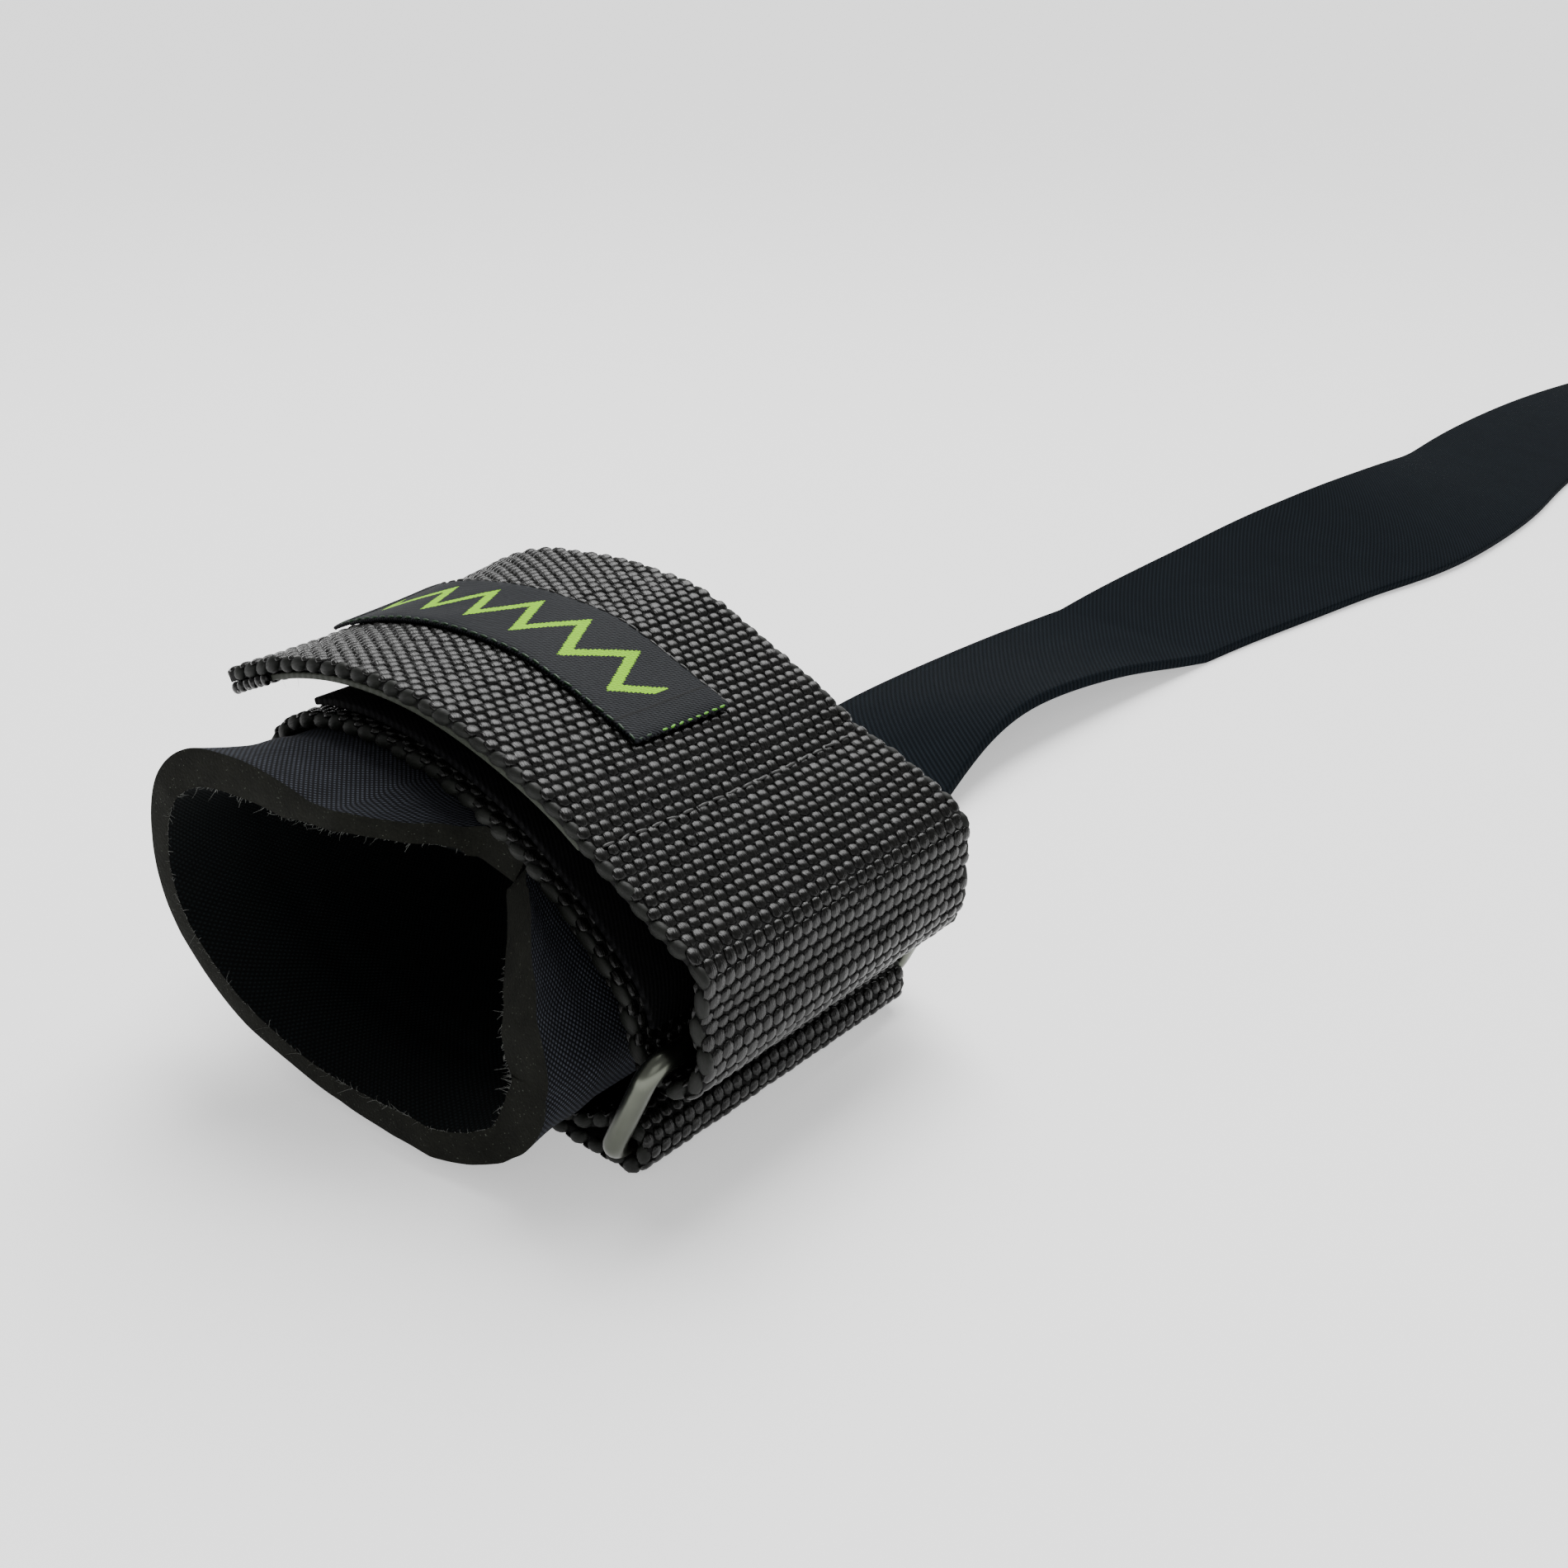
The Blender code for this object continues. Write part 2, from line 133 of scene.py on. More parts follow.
CUFF_BASE = STRAP_THICK + GAP + WEB_THICK + GAP
SEATED = GAP + WEB_THICK / 2

# %% Tables
# Cuff section: across as a share of CUFF_WIDTH, up as a share of CUFF_HEIGHT
SECTION = (
    (0.260, 0.800), (0.110, 0.917), (-0.050, 0.985), (-0.210, 1.000), (-0.355, 0.955),
    (-0.455, 0.835), (-0.495, 0.640), (-0.465, 0.425), (-0.370, 0.225), (-0.215, 0.075),
    (-0.030, 0.000), (0.200, 0.000), (0.360, 0.030), (0.455, 0.130), (0.498, 0.280),
    (0.465, 0.430), (0.385, 0.605), (0.285, 0.760),
)
# Foam pad: share of the way round, reach past the webbing, flare at the edge
RIM = (
    (0.000, -0.125, 0.000), (0.040, -0.050, 0.000), (0.068, 0.406, 0.120), (0.086, 0.625, 0.240),
    (0.105, 0.800, 0.360), (0.185, 0.875, 0.480), (0.245, 0.938, 0.560), (0.300, 1.000, 0.560),
    (0.420, 1.000, 0.760), (0.520, 0.925, 0.880), (0.600, 0.887, 0.940), (0.660, 0.887, 0.920),
    (0.700, 0.863, 0.840), (0.735, 0.787, 0.640), (0.770, 0.688, 0.360), (0.830, 0.650, 0.200),
    (0.900, 0.625, 0.160), (0.928, 0.487, 0.100), (0.955, 0.287, 0.040), (1.000, -0.094, 0.000),
)
# Cut edge of the pad: share of the way round, outward shift in mm of the outer and the inner corner
RIM_CUT = (
    (0.00, 0.0, 0.0), (0.04, -0.5, 0.8), (0.08, -0.6, 1.6), (0.10, -0.8, 1.4), (0.13, -2.0, 0.0),
    (0.16, -1.6, -1.4), (0.20, -0.6, -0.7), (0.25, 0.0, 0.0), (0.30, 0.0, 0.8), (0.35, 0.0, 1.3),
    (0.40, 0.8, 2.4), (0.45, 0.8, 2.4), (0.50, 0.4, 2.0), (0.55, -0.6, 1.6), (0.60, -1.4, 0.4),
    (0.68, -0.7, 0.0), (0.72, 0.0, 0.8), (0.76, 0.5, 1.0), (0.78, 0.0, -0.8), (0.80, -0.8, -2.0),
    (0.84, -1.8, -2.4), (0.88, 0.4, -2.2), (0.92, 2.4, 0.0), (0.96, 1.8, 0.0), (1.00, 0.0, 0.0),
)
# Inner layer on the slope: share of the way round, front and rear stand-off
SLOPE = (
    (-0.024, 0.190, 0.190), (-0.059, 0.250, 0.250), (-0.089, 0.300, 0.300), (-0.120, 0.360, 0.340),
)
# Turn round the upper bar: degrees, front and rear slack
TURN = (
    (200.0, 0.230, 0.200), (230.0, 0.190, 0.160), (265.0, 0.150, 0.130), (300.0, 0.150, 0.110),
    (335.0, 0.200, 0.120), (365.0, 0.280, 0.180), (390.0, 0.370, 0.300), (412.0, 0.520, 0.500),
)
# Outer layer: share of the way round, front and rear stand-off
OUTER = (
    (-0.117, 1.760, 1.680), (-0.093, 1.550, 1.490), (-0.065, 1.330, 1.180), (-0.035, 1.220, 0.920),
    (0.000, 1.090, 0.780), (0.040, 1.020, 0.760), (0.080, 0.970, 0.800), (0.120, 0.930, 0.910),
    (0.160, 0.890, 0.920), (0.200, 0.860, 0.950), (0.240, 0.860, 1.040), (0.275, 0.980, 1.300),
    (0.300, 1.270, 1.630),
)
# Lifting strap: share of its length, aside as a share of STRAP_WIDTH, roll in degrees
STRAP_ROUTE = (
    (0.00, -0.039, 0.0), (0.08, -0.092, 0.0), (0.15, -0.224, 2.0), (0.20, -0.379, 8.0),
    (0.25, -0.447, 12.0), (0.30, -0.429, 9.0), (0.35, -0.376, 2.5), (0.40, -0.297, -3.5),
    (0.45, -0.182, -9.0), (0.50, -0.050, -15.0), (0.56, 0.095, -18.5), (0.62, 0.095, -15.5),
    (0.68, 0.018, -10.5), (0.75, -0.071, -8.5), (0.85, -0.105, -6.0), (1.00, -0.039, 0.0),
)
print("rows of tables:", len(SECTION), len(RIM), len(SLOPE), len(TURN), len(OUTER), len(STRAP_ROUTE))

# %% [markdown]
# ## Routes
#
# Webbing is stiff across its width and bends only along its length, so its whole shape is
# two curves, one for each edge. A cubic spline through a few points gives curves without
# corners. The cuff's section is such a curve too, and the webbing is set off from it.

# %% Splines
def bends_of(points, steps, closed):
    """Second derivatives of the cubic spline at its knots."""
    count = len(points)
    matrix = np.zeros((count, count))
    wanted = np.zeros(points.shape)
    slopes = np.diff(points, axis=0) / steps[:, None]
    for i in range(1, count - 1):
        matrix[i, i - 1:i + 2] = steps[i - 1], 2 * (steps[i - 1] + steps[i]), steps[i]
        wanted[i] = 6 * (slopes[i] - slopes[i - 1])
    matrix[0, 0] = 1.0
    matrix[-1, -1] = 1.0
    if closed:
        matrix[0, -1] = -1.0
        matrix[-1, [0, 1, -2, -1]] = 2 * steps[0], steps[0], steps[-1], 2 * steps[-1]
        wanted[-1] = 6 * (slopes[0] - slopes[-1])
    return np.linalg.solve(matrix, wanted)


def knots_of(points):
    gaps = np.linalg.norm(np.diff(points, axis=0), axis=1)
    return np.concatenate([[0.0], np.cumsum(np.sqrt(gaps))])


def smooth(points, count, closed=False, knots=None):
    points = np.array(points, dtype=float)
    if closed:
        points = np.vstack([points, points[:1]])
    if knots is None:
        knots = knots_of(points)
    steps = np.diff(knots)
    bend = bends_of(points, steps, closed)
    at = np.linspace(0.0, knots[-1], count)
    i = np.clip(np.searchsorted(knots, at, side="right") - 1, 0, len(steps) - 1)
    step = steps[i][:, None]
    low = (knots[i + 1] - at)[:, None] / step
    high = 1.0 - low
    curved = (low ** 3 - low) * bend[i] + (high ** 3 - high) * bend[i + 1]
    return low * points[i] + high * points[i + 1] + curved * step ** 2 / 6


def lengths_along(points):
    gaps = np.linalg.norm(np.diff(points, axis=0), axis=1)
    return np.concatenate([[0.0], np.cumsum(gaps)])


def left_normals(points):
    tangent = np.gradient(points, axis=0)
    tangent /= np.linalg.norm(tangent, axis=1)[:, None]
    return np.stack([-tangent[:, 1], tangent[:, 0]], axis=1)


def unit(vectors):
    return vectors / np.linalg.norm(vectors, axis=-1, keepdims=True)


# %% The cuff's section and the ring's bars
class Cuff:
    """Outer face of the cuff in the XZ plane, read by share of the way round."""

    def __init__(self):
        corners = [(a * CUFF_WIDTH, CUFF_BASE + b * CUFF_HEIGHT) for a, b in SECTION]
        dense = smooth(corners, 4001, closed=True)
        dense[:, 1] += CUFF_BASE - dense[:, 1].min()
        run = lengths_along(dense)
        self.length = run[-1]
        self.shares = np.linspace(0.0, 1.0, 1601)
        at = self.shares * self.length
        self.points = np.stack([np.interp(at, run, dense[:, k]) for k in range(2)], axis=1)
        around = np.vstack([self.points[-2:-1], self.points, self.points[1:2]])
        self.out = -left_normals(around)[1:-1]

    def at(self, share, lift):
        """Points a lift outside the outer face."""
        share, lift = np.broadcast_arrays(np.mod(share, 1.0), lift)
        here = [np.interp(share, self.shares, self.points[:, k]) for k in range(2)]
        out = [np.interp(share, self.shares, self.out[:, k]) for k in range(2)]
        return np.stack(here, axis=-1) + lift[..., None] * unit(np.stack(out, axis=-1))


class Ring:
    """Middles of the ring's two long bars in the XZ plane."""

    def __init__(self):
        self.fold_radius = WIRE / 2 + FOLD_ROOM + WEB_THICK / 2
        self.level = WEB_THICK / 2 + FOLD_LIFT
        self.lower = np.array([CUFF_WIDTH / 2 + RING_FOOT, self.level + self.fold_radius])
        lean = math.radians(RING_LEAN)
        self.rise = np.array([math.cos(lean), math.sin(lean)])
        self.height = RING_INSIDE + WIRE
        self.upper = self.lower + self.height * self.rise


cuff = Cuff()
ring = Ring()
print("way round the cuff in mm:", round(cuff.length, 1))


# %% The way of the webbing
class Closure:
    """Middle plane of the closure webbing, read by length along it, aside and height."""

    def __init__(self):
        front, rear, dip = self.control_points()
        knots = knots_of((front + rear) / 2)
        count = 6001
        position = np.linspace(0.0, knots[-1], count)
        self.front = smooth(front, count, knots=knots)
        self.rear = smooth(rear, count, knots=knots)
        self.dip = np.interp(position, knots, dip)
        self.run = lengths_along((self.front + self.rear) / 2)
        self.length = self.run[-1]
        self.marks = {name: np.interp(knots[i], position, self.run) for name, i in self.marks.items()}
        self.front_normals = left_normals(self.front)
        self.rear_normals = left_normals(self.rear)

    def control_points(self):
        """Points of both edges, from the end folded under the ring to the free tip."""
        rows = []
        self.marks = {}

        def add(front, rear=None, dip=0.0):
            rows.append((front, front if rear is None else rear, dip))

        fold_end = STRAP_ROUTE[0][1] * STRAP_WIDTH + STRAP_WIDTH / 2 + FOLD_CLEAR
        for share in (0.0, 0.35, 0.7, 0.85):
            add((fold_end + share * (ring.lower[0] - fold_end), ring.level))
        for angle in np.radians(np.linspace(-90.0, 90.0, 9)):
            add(ring.lower + ring.fold_radius * np.array([math.cos(angle), math.sin(angle)]))
        level = CUFF_BASE - SEATED
        drop = ring.lower[1] + ring.fold_radius - level
        for share, left in ((0.18, 0.88), (0.45, 0.48), (0.72, 0.13), (1.0, 0.0)):
            add((ring.lower[0] - share * FOLD_NECK, level + left * drop))
        self.marks["bottom"] = len(rows)
        for share in np.linspace(0.690, 0.0, 28):
            add(cuff.at(share, SEATED))
        self.marks["slope"] = len(rows)
        for share, front, rear in SLOPE:
            add(cuff.at(share, front * LAYER_LIFT), cuff.at(share, rear * LAYER_LIFT))
        self.marks["turn"] = len(rows)
        clear = WIRE / 2 + WEB_THICK / 2
        for degrees, front, rear in TURN:
            spoke = np.array([math.cos(math.radians(degrees)), math.sin(math.radians(degrees))])
            add(ring.upper + (clear + front * LAYER_LIFT) * spoke,
                ring.upper + (clear + rear * LAYER_LIFT) * spoke)
        self.marks["outer"] = len(rows)
        for share, front, rear in OUTER:
            add(cuff.at(share, front * LAYER_LIFT), cuff.at(share, rear * LAYER_LIFT), CAMBER)
        return [np.array([row[k] for row in rows]) for k in range(3)]

    def place(self, along, aside, height):
        """World points in metres; a positive height is to the left of the way along."""
        along, aside, height = np.broadcast_arrays(along, aside, height)
        share = aside / WEB_WIDTH + 0.5

        def across(front, rear):
            parts = []
            for k in range(2):
                low = np.interp(along, self.run, front[:, k])
                high = np.interp(along, self.run, rear[:, k])
                parts.append(low * (1 - share) + high * share)
            return np.stack(parts, axis=-1)

        dip = np.interp(along, self.run, self.dip) * (1.0 - (2 * share - 1) ** 2)
        normal = unit(across(self.front_normals, self.rear_normals))
        point = across(self.front, self.rear) + normal * (height + dip)[..., None]
        return np.stack([point[..., 0], aside, point[..., 1]], axis=-1) * MM


closure = Closure()
print("length of the closure webbing in mm:", round(closure.length, 1))

# %% [markdown]
# ## Meshes
#
# Two shapes make almost everything here: a flat grid that is bent along a route, and one
# small form that is copied thousands of times. The grid comes from the Add menu and gets
# a UV map in millimetres, so that a weave keeps its scale wherever the cloth turns.

# %% Bent sheets
def deselect():
    bpy.ops.object.select_all(action="DESELECT")


def write_uv(mesh, flat, name="laid_flat"):
    """One UV map in millimetres from a flat place for each vertex."""
    corners = np.empty(len(mesh.loops), dtype=np.int32)
    mesh.loops.foreach_get("vertex_index", corners)
    layer = mesh.uv_layers.get(name) or mesh.uv_layers.new(name=name)
    layer.uv.foreach_set("vector", flat[corners].astype(np.float32).ravel())
    mesh.uv_layers.active = layer


def bent_sheet(name, columns, rows, bend):
    """A grid bent by bend(share along, share across), which gives places and flat places."""
    deselect()
    bpy.ops.mesh.primitive_grid_add(x_subdivisions=columns, y_subdivisions=rows, size=1.0, calc_uvs=False)
    sheet = bpy.context.active_object
    sheet.name = name
    sheet.data.name = name
    start = np.empty(len(sheet.data.vertices) * 3)
    sheet.data.vertices.foreach_get("co", start)
    start = start.reshape(-1, 3) + 0.5
    places, flat = bend(start[:, 0], start[:, 1])
    sheet.data.vertices.foreach_set("co", places.ravel())
    write_uv(sheet.data, flat)
    sheet.data.update()
    return sheet


def apply_modifier(piece, kind, **settings):
    deselect()
    piece.select_set(True)
    bpy.context.view_layer.objects.active = piece
    bpy.ops.object.modifier_add(type=kind)
    modifier = piece.modifiers[-1]
    for key, value in settings.items():
        setattr(modifier, key, value)
    bpy.ops.object.modifier_apply(modifier=modifier.name)


def thicken(piece, thickness, rounding=0.0, **settings):
    """Gives a sheet its thickness to both sides, and rounds its edges."""
    apply_modifier(piece, "SOLIDIFY", thickness=thickness * MM, offset=0.0, use_even_offset=True, **settings)
    if rounding:
        apply_modifier(piece, "BEVEL", width=rounding * MM, segments=3, limit_method="ANGLE",
                       angle_limit=math.radians(50))
    piece.data.shade_smooth()
    return piece


def clothe(piece, *materials):
    for material in materials:
        piece.data.materials.append(material)
    return piece


def finish_piece(piece, node, slot, *materials):
    """Gives a piece its material and lets it ride in place of a node of the frame."""
    clothe(piece, *materials)
    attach(piece, "root")
    if node:
        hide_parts(node)
    print(piece.name, "polygons:", len(piece.data.polygons))
    return piece


# %% Copies of one small form
def read_form(piece):
    """Vertices and faces of a form; the form itself is then removed."""
    vertices = np.array([vertex.co for vertex in piece.data.vertices])
    faces = [tuple(polygon.vertices) for polygon in piece.data.polygons]
    bpy.data.objects.remove(piece, do_unlink=True)
    return vertices, faces


def half_ball(segments, rings):
    """The upper half of a ball, closed underneath."""
    deselect()
    bpy.ops.mesh.primitive_uv_sphere_add(segments=segments, ring_count=rings, radius=1.0)
    piece = bpy.context.active_object
    bpy.ops.object.mode_set(mode="EDIT")
    bpy.ops.mesh.select_all(action="SELECT")
    bpy.ops.mesh.bisect(plane_co=(0, 0, 0), plane_no=(0, 0, 1), clear_inner=True, use_fill=True)
    bpy.ops.object.mode_set(mode="OBJECT")
    return read_form(piece)


def pillow(segments, rings):
    """A half ball with a fuller footprint and a flatter top that leans forward."""
    vertices, faces = half_ball(segments, rings)
    size = np.linalg.norm(vertices[:, :2], axis=1)
    corner = np.cbrt((np.abs(vertices[:, :2]) ** 3).sum(axis=1))
    vertices[:, :2] *= (size / np.maximum(corner, 1e-6))[:, None]
    vertices[:, 2] = np.clip(vertices[:, 2], 0.0, 1.0) ** 0.75
    vertices[:, 0] += 0.28 * vertices[:, 2]
    return vertices, faces


def whole_ball(segments, rings):
    deselect()
    bpy.ops.mesh.primitive_uv_sphere_add(segments=segments, ring_count=rings, radius=1.0)
    return read_form(bpy.context.active_object)


def copies(name, form, spots, route, flip=False, seed=1):
    """Lays copies of a form along a route. Each row of spots gives along, aside, level,
    half length, half width, height and turn; the copies bend with the route."""
    vertices, faces = form
    along, aside, level, long, wide, high, turn = np.array(spots, dtype=float).T[..., None]
    x = vertices[None, :, 0] * long
    y = vertices[None, :, 1] * wide
    shift = x * np.cos(turn) - y * np.sin(turn)
    sway = x * np.sin(turn) + y * np.cos(turn)
    places = route(along + shift, aside + sway, level + vertices[None, :, 2] * high)
    count = len(vertices)
    order = [face[::-1] for face in faces] if flip else faces
    all_faces = []
    for k in range(len(places)):
        base = k * count
        all_faces.extend([tuple(base + i for i in face) for face in order])
    mesh = bpy.data.meshes.new(name)
    mesh.from_pydata(places.reshape(-1, 3), [], all_faces)
    chance = np.random.default_rng(seed)
    apart = chance.uniform(0.0, 60.0, (len(places), 1, 2))
    write_uv(mesh, (np.stack([x, y], axis=-1) + apart).reshape(-1, 2))
    mesh.shade_smooth()
    piece = bpy.data.objects.new(name, mesh)
    bpy.context.scene.collection.objects.link(piece)
    return piece


# %% [markdown]
# ## Finishes
#
# Shader maths reads best as sums, so one small class stands for a socket and adds a Math
# node for each operator. A second class holds a material and adds any other node.

# %% Shader sums
class Value:
    """A socket that takes part in sums."""

    def __init__(self, finish, socket):
        self.finish = finish
        self.socket = socket

    def math(self, operation, *others):
        values = dict(enumerate((self, *others)))
        return self.finish.node("ShaderNodeMath", {"operation": operation}, values)["Value"]

    def __add__(self, other):
        return self.math("ADD", other)

    def __mul__(self, other):
        return self.math("MULTIPLY", other)

    def __sub__(self, other):
        return self.math("SUBTRACT", other)

    def __truediv__(self, other):
        return self.math("DIVIDE", other)

    def __rsub__(self, other):
        return self * -1.0 + other

    __radd__ = __add__
    __rmul__ = __mul__

    def wave(self, length):
        """From 0 to 1 and back over each length."""
        return (self * (2 * math.pi / length)).math("SINE") * 0.5 + 0.5

    def below(self, edge, soft):
        """1 under the edge and 0 over it."""
        return ((edge - self) / soft + 0.5).math("MAXIMUM", 0.0).math("MINIMUM", 1.0)


class Finish:
    """A material: node() adds any node, paint() feeds the shader's sockets."""

    def __init__(self, name, **fixed):
        self.material = bpy.data.materials.new(name)
        self.material.use_nodes = True
        self.tree = self.material.node_tree
        self.shader = self.tree.nodes["Principled BSDF"]
        for key, value in fixed.items():
            self.shader.inputs[key.replace("_", " ")].default_value = value

    def feed(self, socket, value):
        if isinstance(value, Value):
            self.tree.links.new(value.socket, socket)
        elif isinstance(value, tuple) and len(value) == 3 and socket.type == "RGBA":
            socket.default_value = (*value, 1.0)
        else:
            socket.default_value = value

    def node(self, kind, settings=None, values=None):
        made = self.tree.nodes.new(kind)
        for key, value in (settings or {}).items():
            setattr(made, key, value)
        for key, value in (values or {}).items():
            self.feed(made.inputs[key], value)
        return {output.name: Value(self, output) for output in made.outputs if output.enabled}

    def flat(self):
        """Lengths along and across the flat cloth, in millimetres."""
        where = self.node("ShaderNodeUVMap", {"uv_map": "laid_flat"})["UV"]
        parts = self.node("ShaderNodeSeparateXYZ", None, {0: where})
        return where, parts["X"], parts["Y"]

    def body(self):
        return self.node("ShaderNodeTexCoord")["Object"]

    def noise(self, where, scale, detail=2.0, stretch=(1.0, 1.0, 1.0)):
        moved = self.node("ShaderNodeMapping", {"vector_type": "POINT"}, {"Vector": where, "Scale": stretch})
        return self.node("ShaderNodeTexNoise", None,
                         {"Vector": moved["Vector"], "Scale": scale, "Detail": detail})["Fac"]

    def mix(self, share, first, second):
        """A colour between two, by a share."""
        made = self.tree.nodes.new("ShaderNodeMix")
        made.data_type = "RGBA"
        self.feed(made.inputs[0], share)
        self.feed(made.inputs[6], first)
        self.feed(made.inputs[7], second)
        return Value(self, made.outputs[2])

    def bump(self, height, depth, strength=1.0, under=None):
        values = {"Height": height, "Distance": depth * MM, "Strength": strength}
        if under is not None:
            values["Normal"] = under
        return self.node("ShaderNodeBump", None, values)["Normal"]

    def paint(self, **links):
        for key, value in links.items():
            self.feed(self.shader.inputs[key.replace("_", " ")], value)
        return self.material


# %% [markdown]
# ### Webbing yarn
#
# Each bump of the coarse webbing is a bundle of fine filaments. The bundle itself is
# mesh; its filaments are a noise stretched along the bundle. They break up the gloss, so
# that each bump has a ragged bright streak and not the clean highlight of plastic.

# %% Yarn finish
def yarn_finish(name, dark, light, roughness, depth=0.05):
    finish = Finish(name, Specular_IOR_Level=0.30)
    where, along, across = finish.flat()
    filaments = finish.noise(where, 1.0, 3.0, (1.0, 6.0, 1.0))
    tone = finish.noise(where, 0.45, 1.0)
    fleck = filaments.math("MULTIPLY", tone) * 2.0
    return finish.paint(
        Base_Color=finish.mix(fleck, dark, light),
        Roughness=filaments * 0.35 + (roughness - 0.17),
        Normal=finish.bump(filaments, depth),
    )


webbing_yarn = yarn_finish("webbing_yarn", (0.0006, 0.0007, 0.0004), (0.0030, 0.0030, 0.0022), 0.23, 0.09)
selvedge_yarn = yarn_finish("selvedge_yarn", (0.0008, 0.0012, 0.0006), (0.006, 0.0075, 0.0048), 0.62)
webbing_core = yarn_finish("webbing_core", (0.0004, 0.0004, 0.0004), (0.001, 0.001, 0.001), 0.9)

# %% [markdown]
# ## The closure webbing
#
# One strip, coarse enough that every bump shows. A core strip carries the shape, and the
# floats of yarn lie on it in staggered rows like bricks: 29 bumps across, each row half a
# bump aside of the one before. Real bumps hide each other's ends, which a bump map can't
# do, so they are mesh wherever they are seen. The edges are bound by longer, flatter bumps.

# %% Core of the webbing
BUMPS_ACROSS = 29
YARN_PITCH = WEB_WIDTH / BUMPS_ACROSS
ROW_PITCH = 1.525
ROW_SPREAD = 1.16
CORE_THICK = 1.5
EDGE_ROOM = 0.45


def bend_core(share_along, share_across):
    along = 0.4 + share_along * (closure.length - 0.8)
    aside = (share_across - 0.5) * (WEB_WIDTH - 2 * EDGE_ROOM)
    return closure.place(along, aside, 0.0), np.stack([along, aside], axis=-1)


core = thicken(bent_sheet("webbing_core", 420, 16, bend_core), CORE_THICK)
finish_piece(core, "closure_strap", "black_webbing", webbing_core)

# %% Bumps on the faces
marks = closure.marks
tip = closure.length - 1.0


def weave_rows():
    """Where the rows lie along the webbing: wider apart round the turn, where it is bent open."""
    rows = [0.8]
    while rows[-1] < closure.length - 1.0:
        spread = ROW_SPREAD if marks["slope"] < rows[-1] < marks["outer"] + 3.0 else 1.0
        rows.append(rows[-1] + ROW_PITCH * spread)
    return np.array(rows)


weave = weave_rows()
weave_spread = np.gradient(weave) / ROW_PITCH
print("rows of the weave:", len(weave))


def face_spots(start, end, outward, chance, level):
    """Rows of bumps between two lengths, on the left face for 1 and the right for -1."""
    spots = []
    for row in np.flatnonzero((weave >= start) & (weave <= end)):
        odd = row % 2
        for k in range(1 if odd else 0, BUMPS_ACROSS):
            aside = (k if odd else k + 0.5) * YARN_PITCH - WEB_WIDTH / 2
            jitter = chance.normal(0.0, 1.0, 5)
            spots.append((
                weave[row] + jitter[0] * 0.05,
                aside + jitter[1] * 0.04,
                outward * level,
                (0.86 + 0.04 * jitter[2]) * weave_spread[row],
                0.90 + 0.03 * jitter[2],
                outward * (0.56 + 0.04 * jitter[3]),
                outward * -0.20 + 0.07 * jitter[4],
            ))
    return spots


def webbing_bumps(name, form, start, end, outward, seed, level=0.58):
    spots = face_spots(start, end, outward, np.random.default_rng(seed), level)
    piece = copies(name, form, spots, closure.place, flip=outward < 0, seed=seed)
    return finish_piece(piece, None, "black_webbing", webbing_yarn)


near_form = pillow(10, 8)
far_form = pillow(8, 6)
webbing_bumps("webbing_outer_face", near_form, marks["slope"] + 6.0, tip, -1, 11)
webbing_bumps("webbing_inner_layer_face", far_form, marks["bottom"] + 2.0, marks["outer"] + 2.0, 1, 12)
webbing_bumps("webbing_fold_face", far_form, 1.0, marks["bottom"] - 0.5, -1, 13)


# %% Bumps along the edges
def edge_spots(chance):
    """Long flat bumps, one to two rows, that bind each edge."""
    spots = []
    for row in range(1, len(weave) - 1, 2):
        jitter = chance.normal(0.0, 1.0, 5)
        spots.append((
            weave[row] + 0.12 * jitter[0],
            0.10 * jitter[1],
            -0.50,
            (1.62 + 0.10 * jitter[2]) * weave_spread[row],
            0.98 + 0.05 * jitter[3],
            0.74 + 0.07 * jitter[3],
            0.28 + 0.10 * jitter[4],
        ))
    return spots


def front_edge(along, across, out):
    return closure.place(along, -WEB_WIDTH / 2 - out, across)


def rear_edge(along, across, out):
    return closure.place(along, WEB_WIDTH / 2 + out, across)


edge_form = whole_ball(10, 7)
for name, route, seed, flip in (("webbing_front_edge", front_edge, 15, False),
                                ("webbing_rear_edge", rear_edge, 16, True)):
    piece = copies(name, edge_form, edge_spots(np.random.default_rng(seed)), route, flip=flip, seed=seed)
    finish_piece(piece, None, "black_webbing", selvedge_yarn)

# %% [markdown]
# The free end is turned under and sewn, so the last 9 mm are two layers thick. The turned
# layer needs its own core, bumps on its face, and rows of bumps that close the end.

# %% Hem at the free end
HEM_LENGTH = 9.0
HEM_LEVEL = 1.55


def hem_end_spots(chance):
    """Rows across the end and a short row along each edge, for both layers."""
    spots = []
    for layer, level in enumerate((-0.35, 0.65, 1.65)):
        for k in range(BUMPS_ACROSS - 1):
            aside = (k + 0.75 + 0.5 * (layer % 2)) * YARN_PITCH - WEB_WIDTH / 2
            spots.append((closure.length - 0.55, aside, level, 0.90, 0.92, 0.74, 0.08 * chance.normal()))
    for side in (-1.0, 1.0):
        for k in range(6):
            spots.append((closure.length - 1.2 - 1.6 * k, side * (WEB_WIDTH / 2 - 0.55), HEM_LEVEL + 0.1,
                          0.98, 0.66, 0.86, 0.1 * chance.normal()))
    return spots


def bend_hem(share_along, share_across):
    along = closure.length - 0.9 - HEM_LENGTH + share_along * HEM_LENGTH
    aside = (share_across - 0.5) * (WEB_WIDTH - 2 * EDGE_ROOM)
    return closure.place(along, aside, HEM_LEVEL), np.stack([along, aside], axis=-1)


